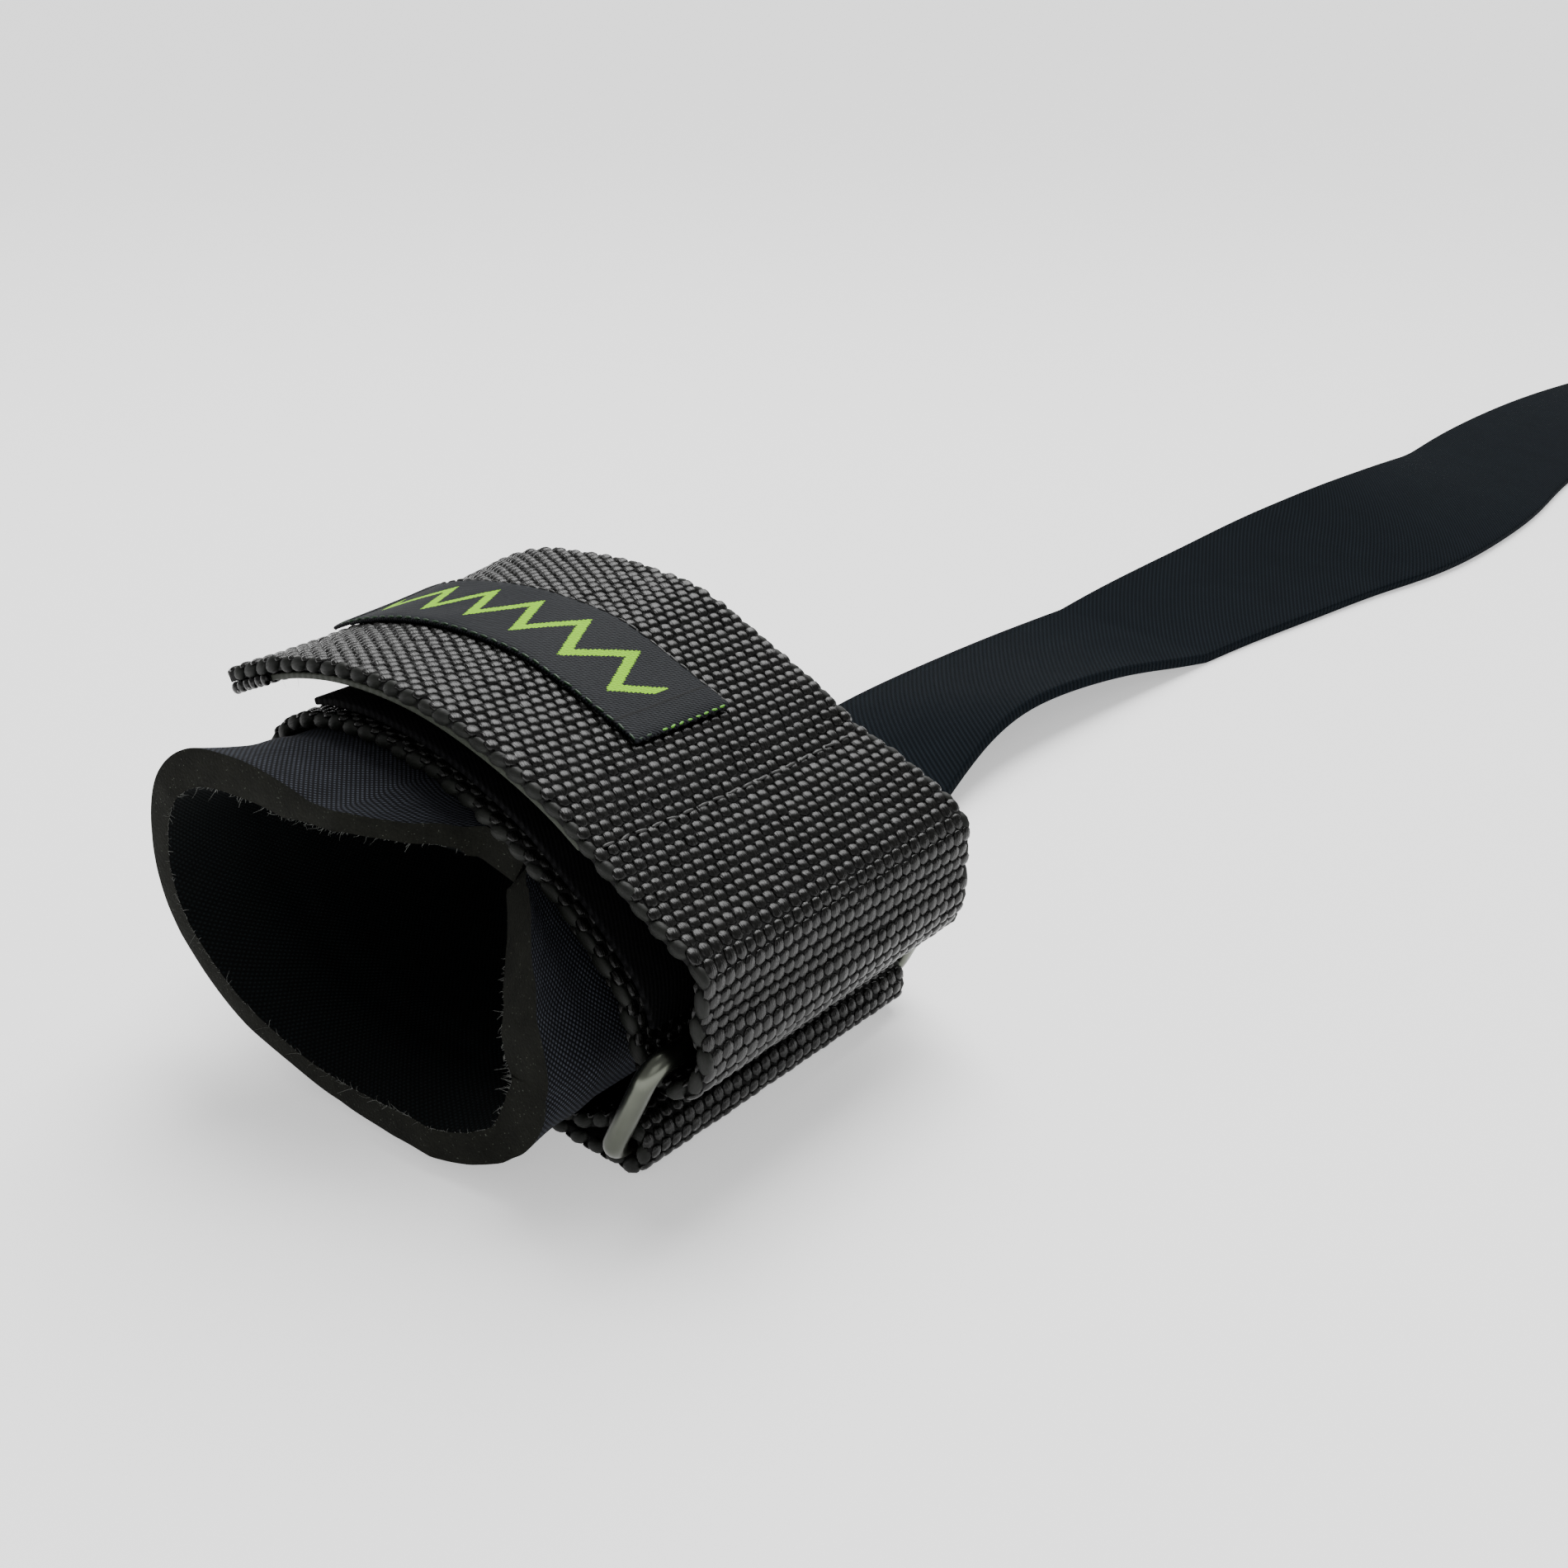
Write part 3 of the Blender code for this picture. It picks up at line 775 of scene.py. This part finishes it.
hem = thicken(bent_sheet("webbing_hem_core", 12, 16, bend_hem), 0.9)
finish_piece(hem, None, "black_webbing", webbing_core)
webbing_bumps("webbing_hem_face", far_form, closure.length - HEM_LENGTH, tip, 1, 14, HEM_LEVEL + 0.35)
hem_spots = hem_end_spots(np.random.default_rng(17))
hem_end = copies("webbing_hem_end", edge_form, hem_spots, closure.place, seed=17)
finish_piece(hem_end, None, "black_webbing", webbing_yarn)

# %% [markdown]
# ## The foam cuff
#
# The cuff is 5 mm foam with knit on both faces, cut to a curved edge. The bare foam shows
# on the cut. It is bent directly and not simulated: foam this thick holds its own curve,
# and the webbing only presses a shallow waist into it. The knit pulls the cut edge thinner
# in some places than in others, so each corner of it has its own small shift.

# %% Knit, lining and foam
def knit_finish(name, dark, light, wale, course, depth, sheen):
    """Fine knit: staggered crowns of loops, with a painted highlight on the crowns and painted shade in the
    hollows between them.
    """
    finish = Finish(name, Specular_IOR_Level=0.08, Sheen_Weight=sheen, Sheen_Roughness=0.4,
                    Sheen_Tint=(0.80, 0.86, 1.0, 1.0))
    where, around, level = finish.flat()
    loops = (around / wale + level / course).wave(1.0) * (around / wale - level / course).wave(1.0)
    worn = finish.noise(where, 0.35, 2.0)
    fuzz = finish.noise(where, 5.0, 2.0)
    # Painted light: the loop pattern gives the crowns the light colour as a painted highlight and the hollows
    # the dark colour as painted shade, varied by random wear and fuzz.
    share = loops * (worn * 0.7 + 0.3) * (fuzz * 0.8 + 0.6)
    return finish.paint(
        Base_Color=finish.mix(share, dark, light),
        Roughness=fuzz * 0.2 + 0.72,
        Normal=finish.bump(loops + fuzz * 0.3, depth),
    )


def foam_finish(name, dark, light):
    finish = Finish(name, Specular_IOR_Level=0.08)
    where = finish.body()
    pores = finish.noise(where, 2600.0, 3.0)
    blotch = finish.noise(where, 320.0, 2.0)
    specks = finish.noise(where, 3200.0, 1.0).below(0.27, 0.04)
    tone = finish.mix(pores * blotch * 2.2, dark, light)
    return finish.paint(
        Base_Color=finish.mix(specks * 0.5, tone, (0.10, 0.11, 0.09)),
        Roughness=pores * 0.2 + 0.75,
        Normal=finish.bump(pores, 0.12),
    )


WALE = 0.76
COURSE = 0.72
# Between its dark and light colour each knit is partly its own tone and partly painted light: painted highlight
# on the loop crowns, painted shade in the hollows.
outer_knit = knit_finish("cuff_knit", (0.0010, 0.0012, 0.0016), (0.075, 0.083, 0.105), WALE, COURSE, 0.14, 0.02)
# The lining is the same knit made far darker than the outer face: painted shade for the inside of the cuff.
lining_knit_painted_shade = knit_finish("cuff_lining_painted_shade", (0.0003, 0.0006, 0.0006), (0.006, 0.009, 0.010), WALE, COURSE, 0.08, 0.0)
cut_foam = foam_finish("cut_foam", (0.003, 0.0032, 0.0024), (0.011, 0.0115, 0.0088))


# %% The pad
rim_table = np.array(RIM)
cut_table = np.array(RIM_CUT)
pad_gap = SEAM_GAP / cuff.length / 2


def rim_at(share, column):
    return np.interp(share, rim_table[:, 0], rim_table[:, column])


def pad_place(share, level, depth):
    """A point of the pad: level from 0 at the front edge to 1 at the rear, depth under its face."""
    rear = level > 0.5
    reach = rim_at(share, 1) * RIM_REACH * np.where(rear, REAR_REACH, 1.0)
    flare = rim_at(share, 2) * RIM_FLARE * np.where(rear, REAR_FLARE, 1.0)
    y = (2 * level - 1) * (WEB_WIDTH / 2 + reach)
    beyond = np.maximum(0.0, np.abs(y) - WEB_WIDTH / 2)
    out = flare * (beyond / np.maximum(reach, 1.0)) ** 2
    ripple = 0.18 * np.sin(share * 57.0 + y * 0.11) * np.sin(y * 0.23 + 1.0)
    swell = 0.45 * np.exp(-((np.abs(y) - WEB_WIDTH / 2 - 3.5) / 2.5) ** 2) * (beyond > 0)
    point = cuff.at(share, out + (ripple + swell) * np.minimum(1.0, beyond / 4.0) - depth)
    return np.stack([point[..., 0], y, point[..., 1]], axis=-1) * MM


def pad_face(share, level, face):
    """The outer face for 0 and the inner for 1, with the cut edge's own corners."""
    reach = rim_at(share, 1) * RIM_REACH
    beyond = np.maximum(0.0, (1.0 - 2 * level) * (WEB_WIDTH / 2 + reach) - WEB_WIDTH / 2)
    near = (beyond / np.maximum(reach, 1.0)) ** 2
    shift = near * np.interp(share, cut_table[:, 0], cut_table[:, 1 + face])
    return pad_place(share, level, face * CUFF_THICK - shift)


def bend_pad(share_along, share_across):
    share = pad_gap + share_along * (1.0 - 2 * pad_gap)
    flat = np.stack([share * cuff.length, (share_across - 0.5) * (WEB_WIDTH + 2 * RIM_REACH)], axis=-1)
    return pad_place(share, share_across, CUFF_THICK / 2), flat


PAD_COLUMNS = 240
PAD_ROWS = 84


def make_pad():
    """The sheet is doubled, and both faces are then put where a square cut leaves them."""
    sheet = bent_sheet("foam_cuff", PAD_COLUMNS, PAD_ROWS, bend_pad)
    pad = clothe(sheet, lining_knit_painted_shade, outer_knit, cut_foam)
    count = len(pad.data.vertices)
    level, around = np.mgrid[0.0:1.0:(PAD_ROWS + 1) * 1j, 0.0:1.0:(PAD_COLUMNS + 1) * 1j].reshape(2, -1)
    share = pad_gap + around * (1.0 - 2 * pad_gap)
    apply_modifier(pad, "SOLIDIFY", thickness=CUFF_THICK * MM, offset=0.0,
                   material_offset=1, material_offset_rim=2)
    outer = pad_face(share, level, 0)
    inner = pad_face(share, level, 1)
    before = np.empty(count * 6)
    pad.data.vertices.foreach_get("co", before)
    first = before.reshape(-1, 3)[:count]
    turned = np.abs(first - inner).mean() < np.abs(first - outer).mean()
    both = [inner, outer] if turned else [outer, inner]
    print("pad faces: first", "inner" if turned else "outer", "off by mm",
          round(float(np.abs(first - both[0]).mean()) / MM, 2))
    pad.data.vertices.foreach_set("co", np.concatenate(both).ravel())
    pad.data.update()
    apply_modifier(pad, "BEVEL", width=0.45 * MM, segments=3, limit_method="ANGLE",
                   angle_limit=math.radians(50))
    pad.data.shade_smooth()
    return pad


pad = make_pad()
finish_piece(pad, "neoprene_cuff", "charcoal_knit")

# %% [markdown]
# ## Loop and hook panels
#
# The inner layer carries a soft loop panel, and the tip of the outer layer a hook panel.
# Only their edges show, the first as a dark pile and the second as a thin pale line.

# %% Panels
def panel_sheet(name, start, end, half_width, middle, height, columns, rows, relief=None):
    def bend(share_along, share_across):
        along = start + share_along * (end - start)
        aside = middle + (2 * share_across - 1) * half_width
        level = height if relief is None else height + relief(along - start, aside - middle)
        return closure.place(along, aside, level), np.stack([along - start, aside - middle], axis=-1)
    return bent_sheet(name, columns, rows, bend)


def pile_finish():
    finish = Finish("loop_pile", Specular_IOR_Level=0.08)
    where, along, across = finish.flat()
    ribs = (along * 0.55 + across).wave(0.62)
    tufts = finish.noise(where, 3.2, 3.0)
    return finish.paint(
        Base_Color=finish.mix(ribs * tufts, (0.001, 0.001, 0.0012), (0.010, 0.010, 0.011)),
        Roughness=tufts * 0.2 + 0.75,
        Normal=finish.bump(ribs * 0.6 + tufts, 0.12),
    )


def hook_finish():
    finish = Finish("hook_tape", Specular_IOR_Level=0.2)
    where, along, across = finish.flat()
    pegs = along.wave(1.3) * across.wave(1.5)
    edge = across.math("ABSOLUTE").below(WEB_WIDTH / 2 - 1.2, 0.3)
    face = finish.mix(pegs, (0.006, 0.006, 0.006), (0.03, 0.03, 0.028))
    return finish.paint(
        Base_Color=finish.mix(edge, (0.035, 0.040, 0.030), face),
        Roughness=pegs * -0.2 + 0.6,
        Normal=finish.bump(pegs, 0.3),
    )


half_panel = WEB_WIDTH / 2 - LOOP_MARGIN
half_hook = WEB_WIDTH / 2 - 0.8
loop_start = marks["slope"] - LOOP_OVER
loop_end = marks["turn"] - LOOP_STOP_LENGTH
loop = panel_sheet("loop_pile_panel", loop_start, loop_end, half_panel, 0.0,
                   WEB_THICK / 2 + GAP + LOOP_THICK / 2, 120, 60)
finish_piece(thicken(loop, LOOP_THICK - 0.2, 0.3), "loop_panel", "loop_pile", pile_finish())
hook_end = closure.length - HEM_LENGTH - 1.2
hook_start = closure.length - TIP_MARGIN - HOOK_LENGTH
hook = panel_sheet("hook_tape_panel", hook_start, hook_end, half_hook, 0.0,
                   WEB_THICK / 2 + HOOK_THICK / 2, 120, 40)
finish_piece(thicken(hook, HOOK_THICK - 0.2, 0.2), "hook_panel", "hook_tape", hook_finish())

# %% [markdown]
# ## The woven label
#
# A narrow label of fine twill is sewn along the outer layer. Its ends are folded under,
# so it is thicker there. It carries a plain woven zigzag in bright green, drawn on the
# grid of its threads, so that the slanted edges have the small steps of real weaving.

# %% Label
label_start = marks["outer"] + LABEL_SETBACK
THREAD = 0.26


def label_relief(along, aside):
    """The label's face drops to the webbing at its edges and is thick where it is folded."""
    end = np.minimum(along, LABEL_LENGTH - along)
    side = LABEL_WIDTH / 2 - np.abs(aside)
    folded = 0.16 * (end < 4.2)
    drop = 0.30 * np.exp(-np.minimum(end, side) / 0.5)
    return -(folded - drop + 0.05 * np.sin(along * 0.5) * np.sin(aside * 0.4))


def label_finish():
    finish = Finish("label_twill", Specular_IOR_Level=0.05)
    where, along, across = finish.flat()
    column = (along / THREAD).math("FLOOR") * THREAD
    row = (across / THREAD).math("FLOOR") * THREAD
    period = 8.6
    rise = ((column - 4.4) / period).math("FRACT")
    slope = (rise - 0.5).math("ABSOLUTE") * 2.0
    band = (row - (slope * 7.6 - 3.8)).math("ABSOLUTE").below(1.35, 0.05)
    within = (column - LABEL_LENGTH / 2).math("ABSOLUTE").below(LABEL_LENGTH / 2 - 5.6, 0.05)
    motif = band * within
    twill = (along + across * 0.8).wave(0.52)
    threads = twill * 0.7 + across.wave(THREAD * 2) * 0.3
    worn = finish.noise(where, 1.4, 3.0)
    ground = finish.mix(threads * (worn * 0.8 + 0.5), (0.0008, 0.0009, 0.0011), (0.030, 0.033, 0.038))
    bright = finish.mix(threads * 0.6 + worn * 0.3, (0.16, 0.42, 0.004), (0.36, 0.80, 0.02))
    end = (along - LABEL_LENGTH / 2).math("ABSOLUTE")
    # Painted shade: a dark line along the fold, 3.9 mm from each end of the label, darkens the crease.
    painted_crease_shade = (end - (LABEL_LENGTH / 2 - 3.9)).math("ABSOLUTE").below(0.18, 0.15)
    return finish.paint(
        Base_Color=finish.mix(motif, finish.mix(painted_crease_shade * 0.7, ground, (0.003, 0.003, 0.003)), bright),
        Roughness=threads * -0.15 + 0.62,
        Normal=finish.bump(threads + motif * 0.8, 0.06),
    )


label_end = label_start + LABEL_LENGTH
label = panel_sheet("woven_twill_label", label_start, label_end, LABEL_WIDTH / 2, LABEL_ASIDE,
                    -(WEB_THICK / 2 + GAP + LABEL_THICK / 2), 236, 68, label_relief)
finish_piece(thicken(label, LABEL_THICK - 0.1, 0.15), "woven_label", "label_twill", label_finish())


# %% Threads
def thread_finish(name, dark, light):
    finish = Finish(name, Specular_IOR_Level=0.5)
    where, along, across = finish.flat()
    ply = finish.noise(where, 2.0, 2.0, (1.0, 6.0, 1.0))
    return finish.paint(
        Base_Color=finish.mix(ply, dark, light),
        Roughness=ply * 0.2 + 0.4,
        Normal=finish.bump(ply, 0.04),
    )


black_thread = thread_finish("black_thread", (0.006, 0.006, 0.006), (0.04, 0.04, 0.038))
dark_green_thread = thread_finish("dark_green_thread", (0.001, 0.008, 0.002), (0.006, 0.05, 0.008))
bright_green_thread = thread_finish("bright_green_thread", (0.05, 0.22, 0.005), (0.16, 0.55, 0.02))
stitch_form = whole_ball(6, 6)


def stitch_line(name, start, end, level, stitch, gap, half_thick, material, seed):
    """A row of stitches between two places (along, aside) of the webbing."""
    start, end = np.array(start, dtype=float), np.array(end, dtype=float)
    run = np.linalg.norm(end - start)
    turn = math.atan2(end[1] - start[1], end[0] - start[0])
    chance = np.random.default_rng(seed)
    spots = []
    for k in range(int(run / (stitch + gap))):
        at = start + (end - start) * ((k + 0.5) * (stitch + gap) / run)
        spots.append((at[0], at[1], level + 0.03 * chance.normal(), stitch / 2, half_thick, half_thick,
                      turn + 0.10 * chance.normal()))
    piece = copies(name, stitch_form, spots, closure.place, seed=seed)
    return finish_piece(piece, None, "black_webbing", material)


front_side = LABEL_ASIDE - LABEL_WIDTH / 2 + 0.15
rear_side = LABEL_ASIDE + LABEL_WIDTH / 2 - 0.15
on_label = -(WEB_THICK / 2 + GAP + LABEL_THICK / 2 + 0.12)
stitch_line("label_front_stitches", (label_start, front_side), (label_end, front_side), on_label,
            1.5, 0.35, 0.17, dark_green_thread, 21)
stitch_line("label_rear_stitches", (label_start, rear_side), (label_end, rear_side), on_label,
            1.5, 0.35, 0.17, black_thread, 22)
stitch_line("label_end_stitches", (label_start + 0.2, -3.6), (label_start + 0.2, rear_side), on_label,
            1.2, 0.3, 0.19, bright_green_thread, 23)
stitch_line("label_end_dark_stitches", (label_start + 0.2, front_side), (label_start + 0.2, -3.9),
            on_label, 1.2, 0.3, 0.17, dark_green_thread, 24)
stitch_line("webbing_cross_stitches", (marks["outer"] + 18.6, -24.0), (marks["outer"] + 18.0, 24.0),
            -1.12, 2.2, 0.5, 0.22, black_thread, 25)

# %% [markdown]
# ## The steel ring
#
# A wire bent to a rounded rectangle. A path along the wire's middle with a round bevel is
# the shortest way to it, and the bevel is then made a mesh.

# %% Ring
def make_ring():
    half = WEB_WIDTH / 2 + RING_SIDE_ROOM + WIRE / 2
    deselect()
    bpy.ops.curve.primitive_bezier_circle_add(radius=1.0)
    piece = bpy.context.active_object
    piece.name = "ring_wire"
    curve = piece.data
    curve.splines.clear()
    wire = curve.splines.new("POLY")
    points = []
    for turn, (y, rise) in enumerate(((half, ring.height), (-half, ring.height), (-half, 0.0), (half, 0.0))):
        centre_y = y - math.copysign(RING_CORNER, y)
        centre_rise = rise - RING_CORNER if rise > 0 else RING_CORNER
        for angle in (turn + np.linspace(0.0, 1.0, 13)) * math.pi / 2:
            x, z = ring.lower + (centre_rise + RING_CORNER * math.sin(angle)) * ring.rise
            points.append((x * MM, (centre_y + RING_CORNER * math.cos(angle)) * MM, z * MM))
    wire.points.add(len(points) - 1)
    for point, where in zip(wire.points, points):
        point.co = (*where, 1.0)
    wire.use_cyclic_u = True
    curve.dimensions = "3D"
    curve.bevel_depth = WIRE / 2 * MM
    curve.bevel_resolution = 6
    bpy.ops.object.convert(target="MESH")
    piece.data.shade_smooth()
    return piece


def steel_finish():
    finish = Finish("satin_steel", Metallic=1.0)
    where = finish.body()
    drawn = finish.noise(where, 900.0, 2.0, (1.0, 0.15, 1.0))
    dull = finish.noise(where, 160.0, 2.0)
    return finish.paint(
        Base_Color=finish.mix(dull, (0.075, 0.080, 0.066), (0.16, 0.17, 0.14)),
        Roughness=drawn * 0.12 + dull * 0.12 + 0.18,
        Normal=finish.bump(drawn, 0.01),
    )


finish_piece(make_ring(), "steel_ring", "satin_steel", steel_finish())

# %% [markdown]
# ## The lifting strap
#
# A long flat twill strap, softer and finer than the closure webbing. It lies on the
# surface, and where it rolls, its lower edge stays down.

# %% Lifting strap
class Route:
    """The strap's middle line on the surface, with its roll."""

    def __init__(self):
        table = np.array(STRAP_ROUTE)
        table[:, 1] *= STRAP_WIDTH
        dense = smooth(table, 1201)
        start = -WEB_WIDTH / 2 + STRAP_INSET
        self.share = dense[:, 0]
        self.x = dense[:, 1]
        self.y = start + dense[:, 0] * STRAP_LENGTH
        self.roll = dense[:, 2]
        self.sides = -left_normals(np.stack([self.x, self.y], axis=1))
        self.level_end = (WEB_WIDTH - STRAP_INSET + STRAP_LEVEL) / STRAP_LENGTH

    def place(self, along, aside, height):
        """World points in metres; height is over the strap's middle plane."""
        along, aside, height = np.broadcast_arrays(along, aside, height)
        share = along / STRAP_LENGTH
        ease = np.clip((share - self.level_end) * STRAP_LENGTH / STRAP_EASE, 0.0, 1.0)
        ease = ease * ease * (3.0 - 2.0 * ease)
        roll = np.radians(np.interp(share, self.share, self.roll)) * ease
        side = unit(np.stack([np.interp(share, self.share, self.sides[:, k]) for k in range(2)], axis=-1))
        level = STRAP_WIDTH / 2 * np.abs(np.sin(roll)) + STRAP_THICK / 2 / np.cos(roll)
        flat = aside * np.cos(roll) - height * np.sin(roll)
        x = np.interp(share, self.share, self.x) + flat * side[..., 0]
        y = np.interp(share, self.share, self.y) + flat * side[..., 1]
        z = level + aside * np.sin(roll) + height * np.cos(roll)
        return np.stack([x, y, z], axis=-1) * MM


route = Route()


def bend_strap(share_along, share_across):
    along = share_along * STRAP_LENGTH
    aside = (share_across - 0.5) * STRAP_WIDTH
    return route.place(along, aside, 0.0), np.stack([along, aside], axis=-1)


def twill_finish():
    finish = Finish("navy_twill", Specular_IOR_Level=0.02)
    where, along, across = finish.flat()
    ribs = (along * 0.8 + across).wave(1.05)
    yarns = across.wave(0.5)
    worn = finish.noise(where, 0.12, 3.0)
    fleck = finish.noise(where, 2.4, 2.0)
    lit = ribs * (fleck * 0.7 + worn * 0.6)
    return finish.paint(
        Base_Color=finish.mix(lit, (0.0028, 0.0042, 0.0058), (0.009, 0.013, 0.017)),
        Roughness=fleck * 0.2 + 0.7,
        Normal=finish.bump(ribs * 0.7 + yarns * 0.2 + fleck * 0.3, 0.16),
    )


strap = thicken(bent_sheet("lifting_strap_twill", 347, 26, bend_strap), STRAP_THICK - 0.1, 0.5)
finish_piece(strap, "lifting_strap", "navy_twill", twill_finish())

# %% [markdown]
# ## Loose fibres
#
# Cut foam and cut webbing shed short pale fibres. They catch the light along the inner
# edge of the rim and under the tip, and each is a thin bent prism.

# %% Fibres
def fibres(name, roots, leans, half_thick, material, seed):
    """Bent hairs from roots, each along its own lean, in metres."""
    chance = np.random.default_rng(seed)
    vertices = []
    faces = []
    for root, lean in zip(roots, leans):
        length = np.linalg.norm(lean)
        curl = chance.normal(0.0, 0.35, 3) * length
        first = np.cross(lean, chance.normal(0.0, 1.0, 3))
        first = first / np.linalg.norm(first) * half_thick * MM
        second = np.cross(lean, first)
        second = second / np.linalg.norm(second) * half_thick * MM
        base = len(vertices)
        for k in range(4):
            share = k / 3
            middle = root + lean * share + curl * share * share
            wide = 1.0 - 0.6 * share
            for angle in (0.0, 2.1, 4.2):
                vertices.append(middle + (first * math.cos(angle) + second * math.sin(angle)) * wide)
        for k in range(3):
            for side in range(3):
                a = base + k * 3 + side
                b = base + k * 3 + (side + 1) % 3
                faces.append((a, b, b + 3, a + 3))
        faces.append((base + 2, base + 1, base))
        faces.append((base + 9, base + 10, base + 11))
    mesh = bpy.data.meshes.new(name)
    mesh.from_pydata(vertices, [], faces)
    piece = bpy.data.objects.new(name, mesh)
    bpy.context.scene.collection.objects.link(piece)
    deselect()
    piece.select_set(True)
    bpy.context.view_layer.objects.active = piece
    bpy.ops.object.mode_set(mode="EDIT")
    bpy.ops.mesh.select_all(action="SELECT")
    bpy.ops.mesh.normals_make_consistent(inside=False)
    bpy.ops.object.mode_set(mode="OBJECT")
    return finish_piece(piece, None, "black_webbing", material)


def fibre_finish(name, dark, light):
    finish = Finish(name, Roughness=0.6)
    tone = finish.noise(finish.body(), 700.0, 1.0)
    return finish.paint(Base_Color=finish.mix(tone, dark, light))


pale_fibre = fibre_finish("pale_fibre", (0.03, 0.032, 0.03), (0.22, 0.23, 0.21))


def rim_fibres():
    chance = np.random.default_rng(31)
    count = 520
    share = chance.uniform(0.045, 0.955, count)
    face = pad_face(share, np.zeros(count), 1)
    into = face - pad_face(share, np.zeros(count), 0)
    front = np.array([0.0, -1.0, 0.0])
    loose = chance.normal(0.0, 0.5, (count, 3))
    leans = (unit(into) * 0.7 + front * 0.7 + loose) * (chance.gamma(2.0, 0.16, count) * MM)[:, None]
    return fibres("rim_fibres", face, leans, 0.028, pale_fibre, 32)


def tip_fibres():
    chance = np.random.default_rng(33)
    count = 160
    aside = chance.uniform(-25.0, 24.0, count)
    root = closure.place(np.full(count, closure.length - 0.6), aside, chance.uniform(0.2, 1.0, count))
    ahead = closure.place(np.full(count, closure.length), aside, 0.6) - closure.place(
        np.full(count, closure.length - 1.0), aside, 0.0)
    loose = chance.normal(0.0, 0.6, (count, 3))
    leans = (unit(ahead) + loose) * (chance.gamma(2.0, 0.4, count) * MM)[:, None]
    return fibres("tip_fibres", root, leans, 0.03, pale_fibre, 34)


rim_fibres()
tip_fibres()

# %% [markdown]
# ## Floor and light
#
# The floor is plain and pale, and glows a little, so that it stays nearly white beside goods
# this dark. A broad lamp behind and above puts the bright streaks on the webbing, a soft one
# overhead widens them, and a faint one in front keeps the near side from going black.

# %% Floor
def make_floor():
    deselect()
    bpy.ops.mesh.primitive_plane_add(size=60.0, location=(0.0, 0.0, 0.0))
    floor = bpy.context.active_object
    floor.name = "floor"
    finish = Finish("pale_floor", Roughness=0.9, Specular_IOR_Level=0.1,
                    Emission_Color=(1.0, 1.0, 1.0, 1.0), Emission_Strength=0.60)
    grain = finish.noise(finish.body(), 40.0, 2.0)
    pale = finish.mix(grain, (0.90, 0.90, 0.90), (0.92, 0.92, 0.92))
    floor.data.materials.append(finish.paint(Base_Color=pale))


def soft_light(name, at, towards, size, power, colour=(1.0, 1.0, 1.0)):
    lamp = bpy.data.lights.new(name, "AREA")
    lamp.shape = "RECTANGLE"
    lamp.size = size[0]
    lamp.size_y = size[1]
    lamp.energy = power
    lamp.color = colour
    light = bpy.data.objects.new(name, lamp)
    bpy.context.scene.collection.objects.link(light)
    light.location = at
    light.rotation_euler = (Vector(towards) - Vector(at)).to_track_quat("-Z", "Y").to_euler()


make_floor()
soft_light("overhead", (-0.10, 0.20, 0.80), (0.0, 0.0, 0.03), (0.5, 0.35), 4.0)
soft_light("front_fill", (0.55, -0.55, 0.45), (0.0, 0.0, 0.03), (0.6, 0.6), 1.2)
daylight = bpy.data.lights.new("daylight", "SUN")
daylight.energy = 3.6
daylight.angle = math.radians(50)
sun = bpy.data.objects.new("daylight", daylight)
bpy.context.scene.collection.objects.link(sun)
sun.rotation_euler = (math.radians(-34), math.radians(-20), 0.0)

world = bpy.data.worlds.new("studio")
bpy.context.scene.world = world
world.use_nodes = True
world.node_tree.nodes["Background"].inputs["Color"].default_value = (1.0, 1.0, 1.0, 1.0)
world.node_tree.nodes["Background"].inputs["Strength"].default_value = 0.38
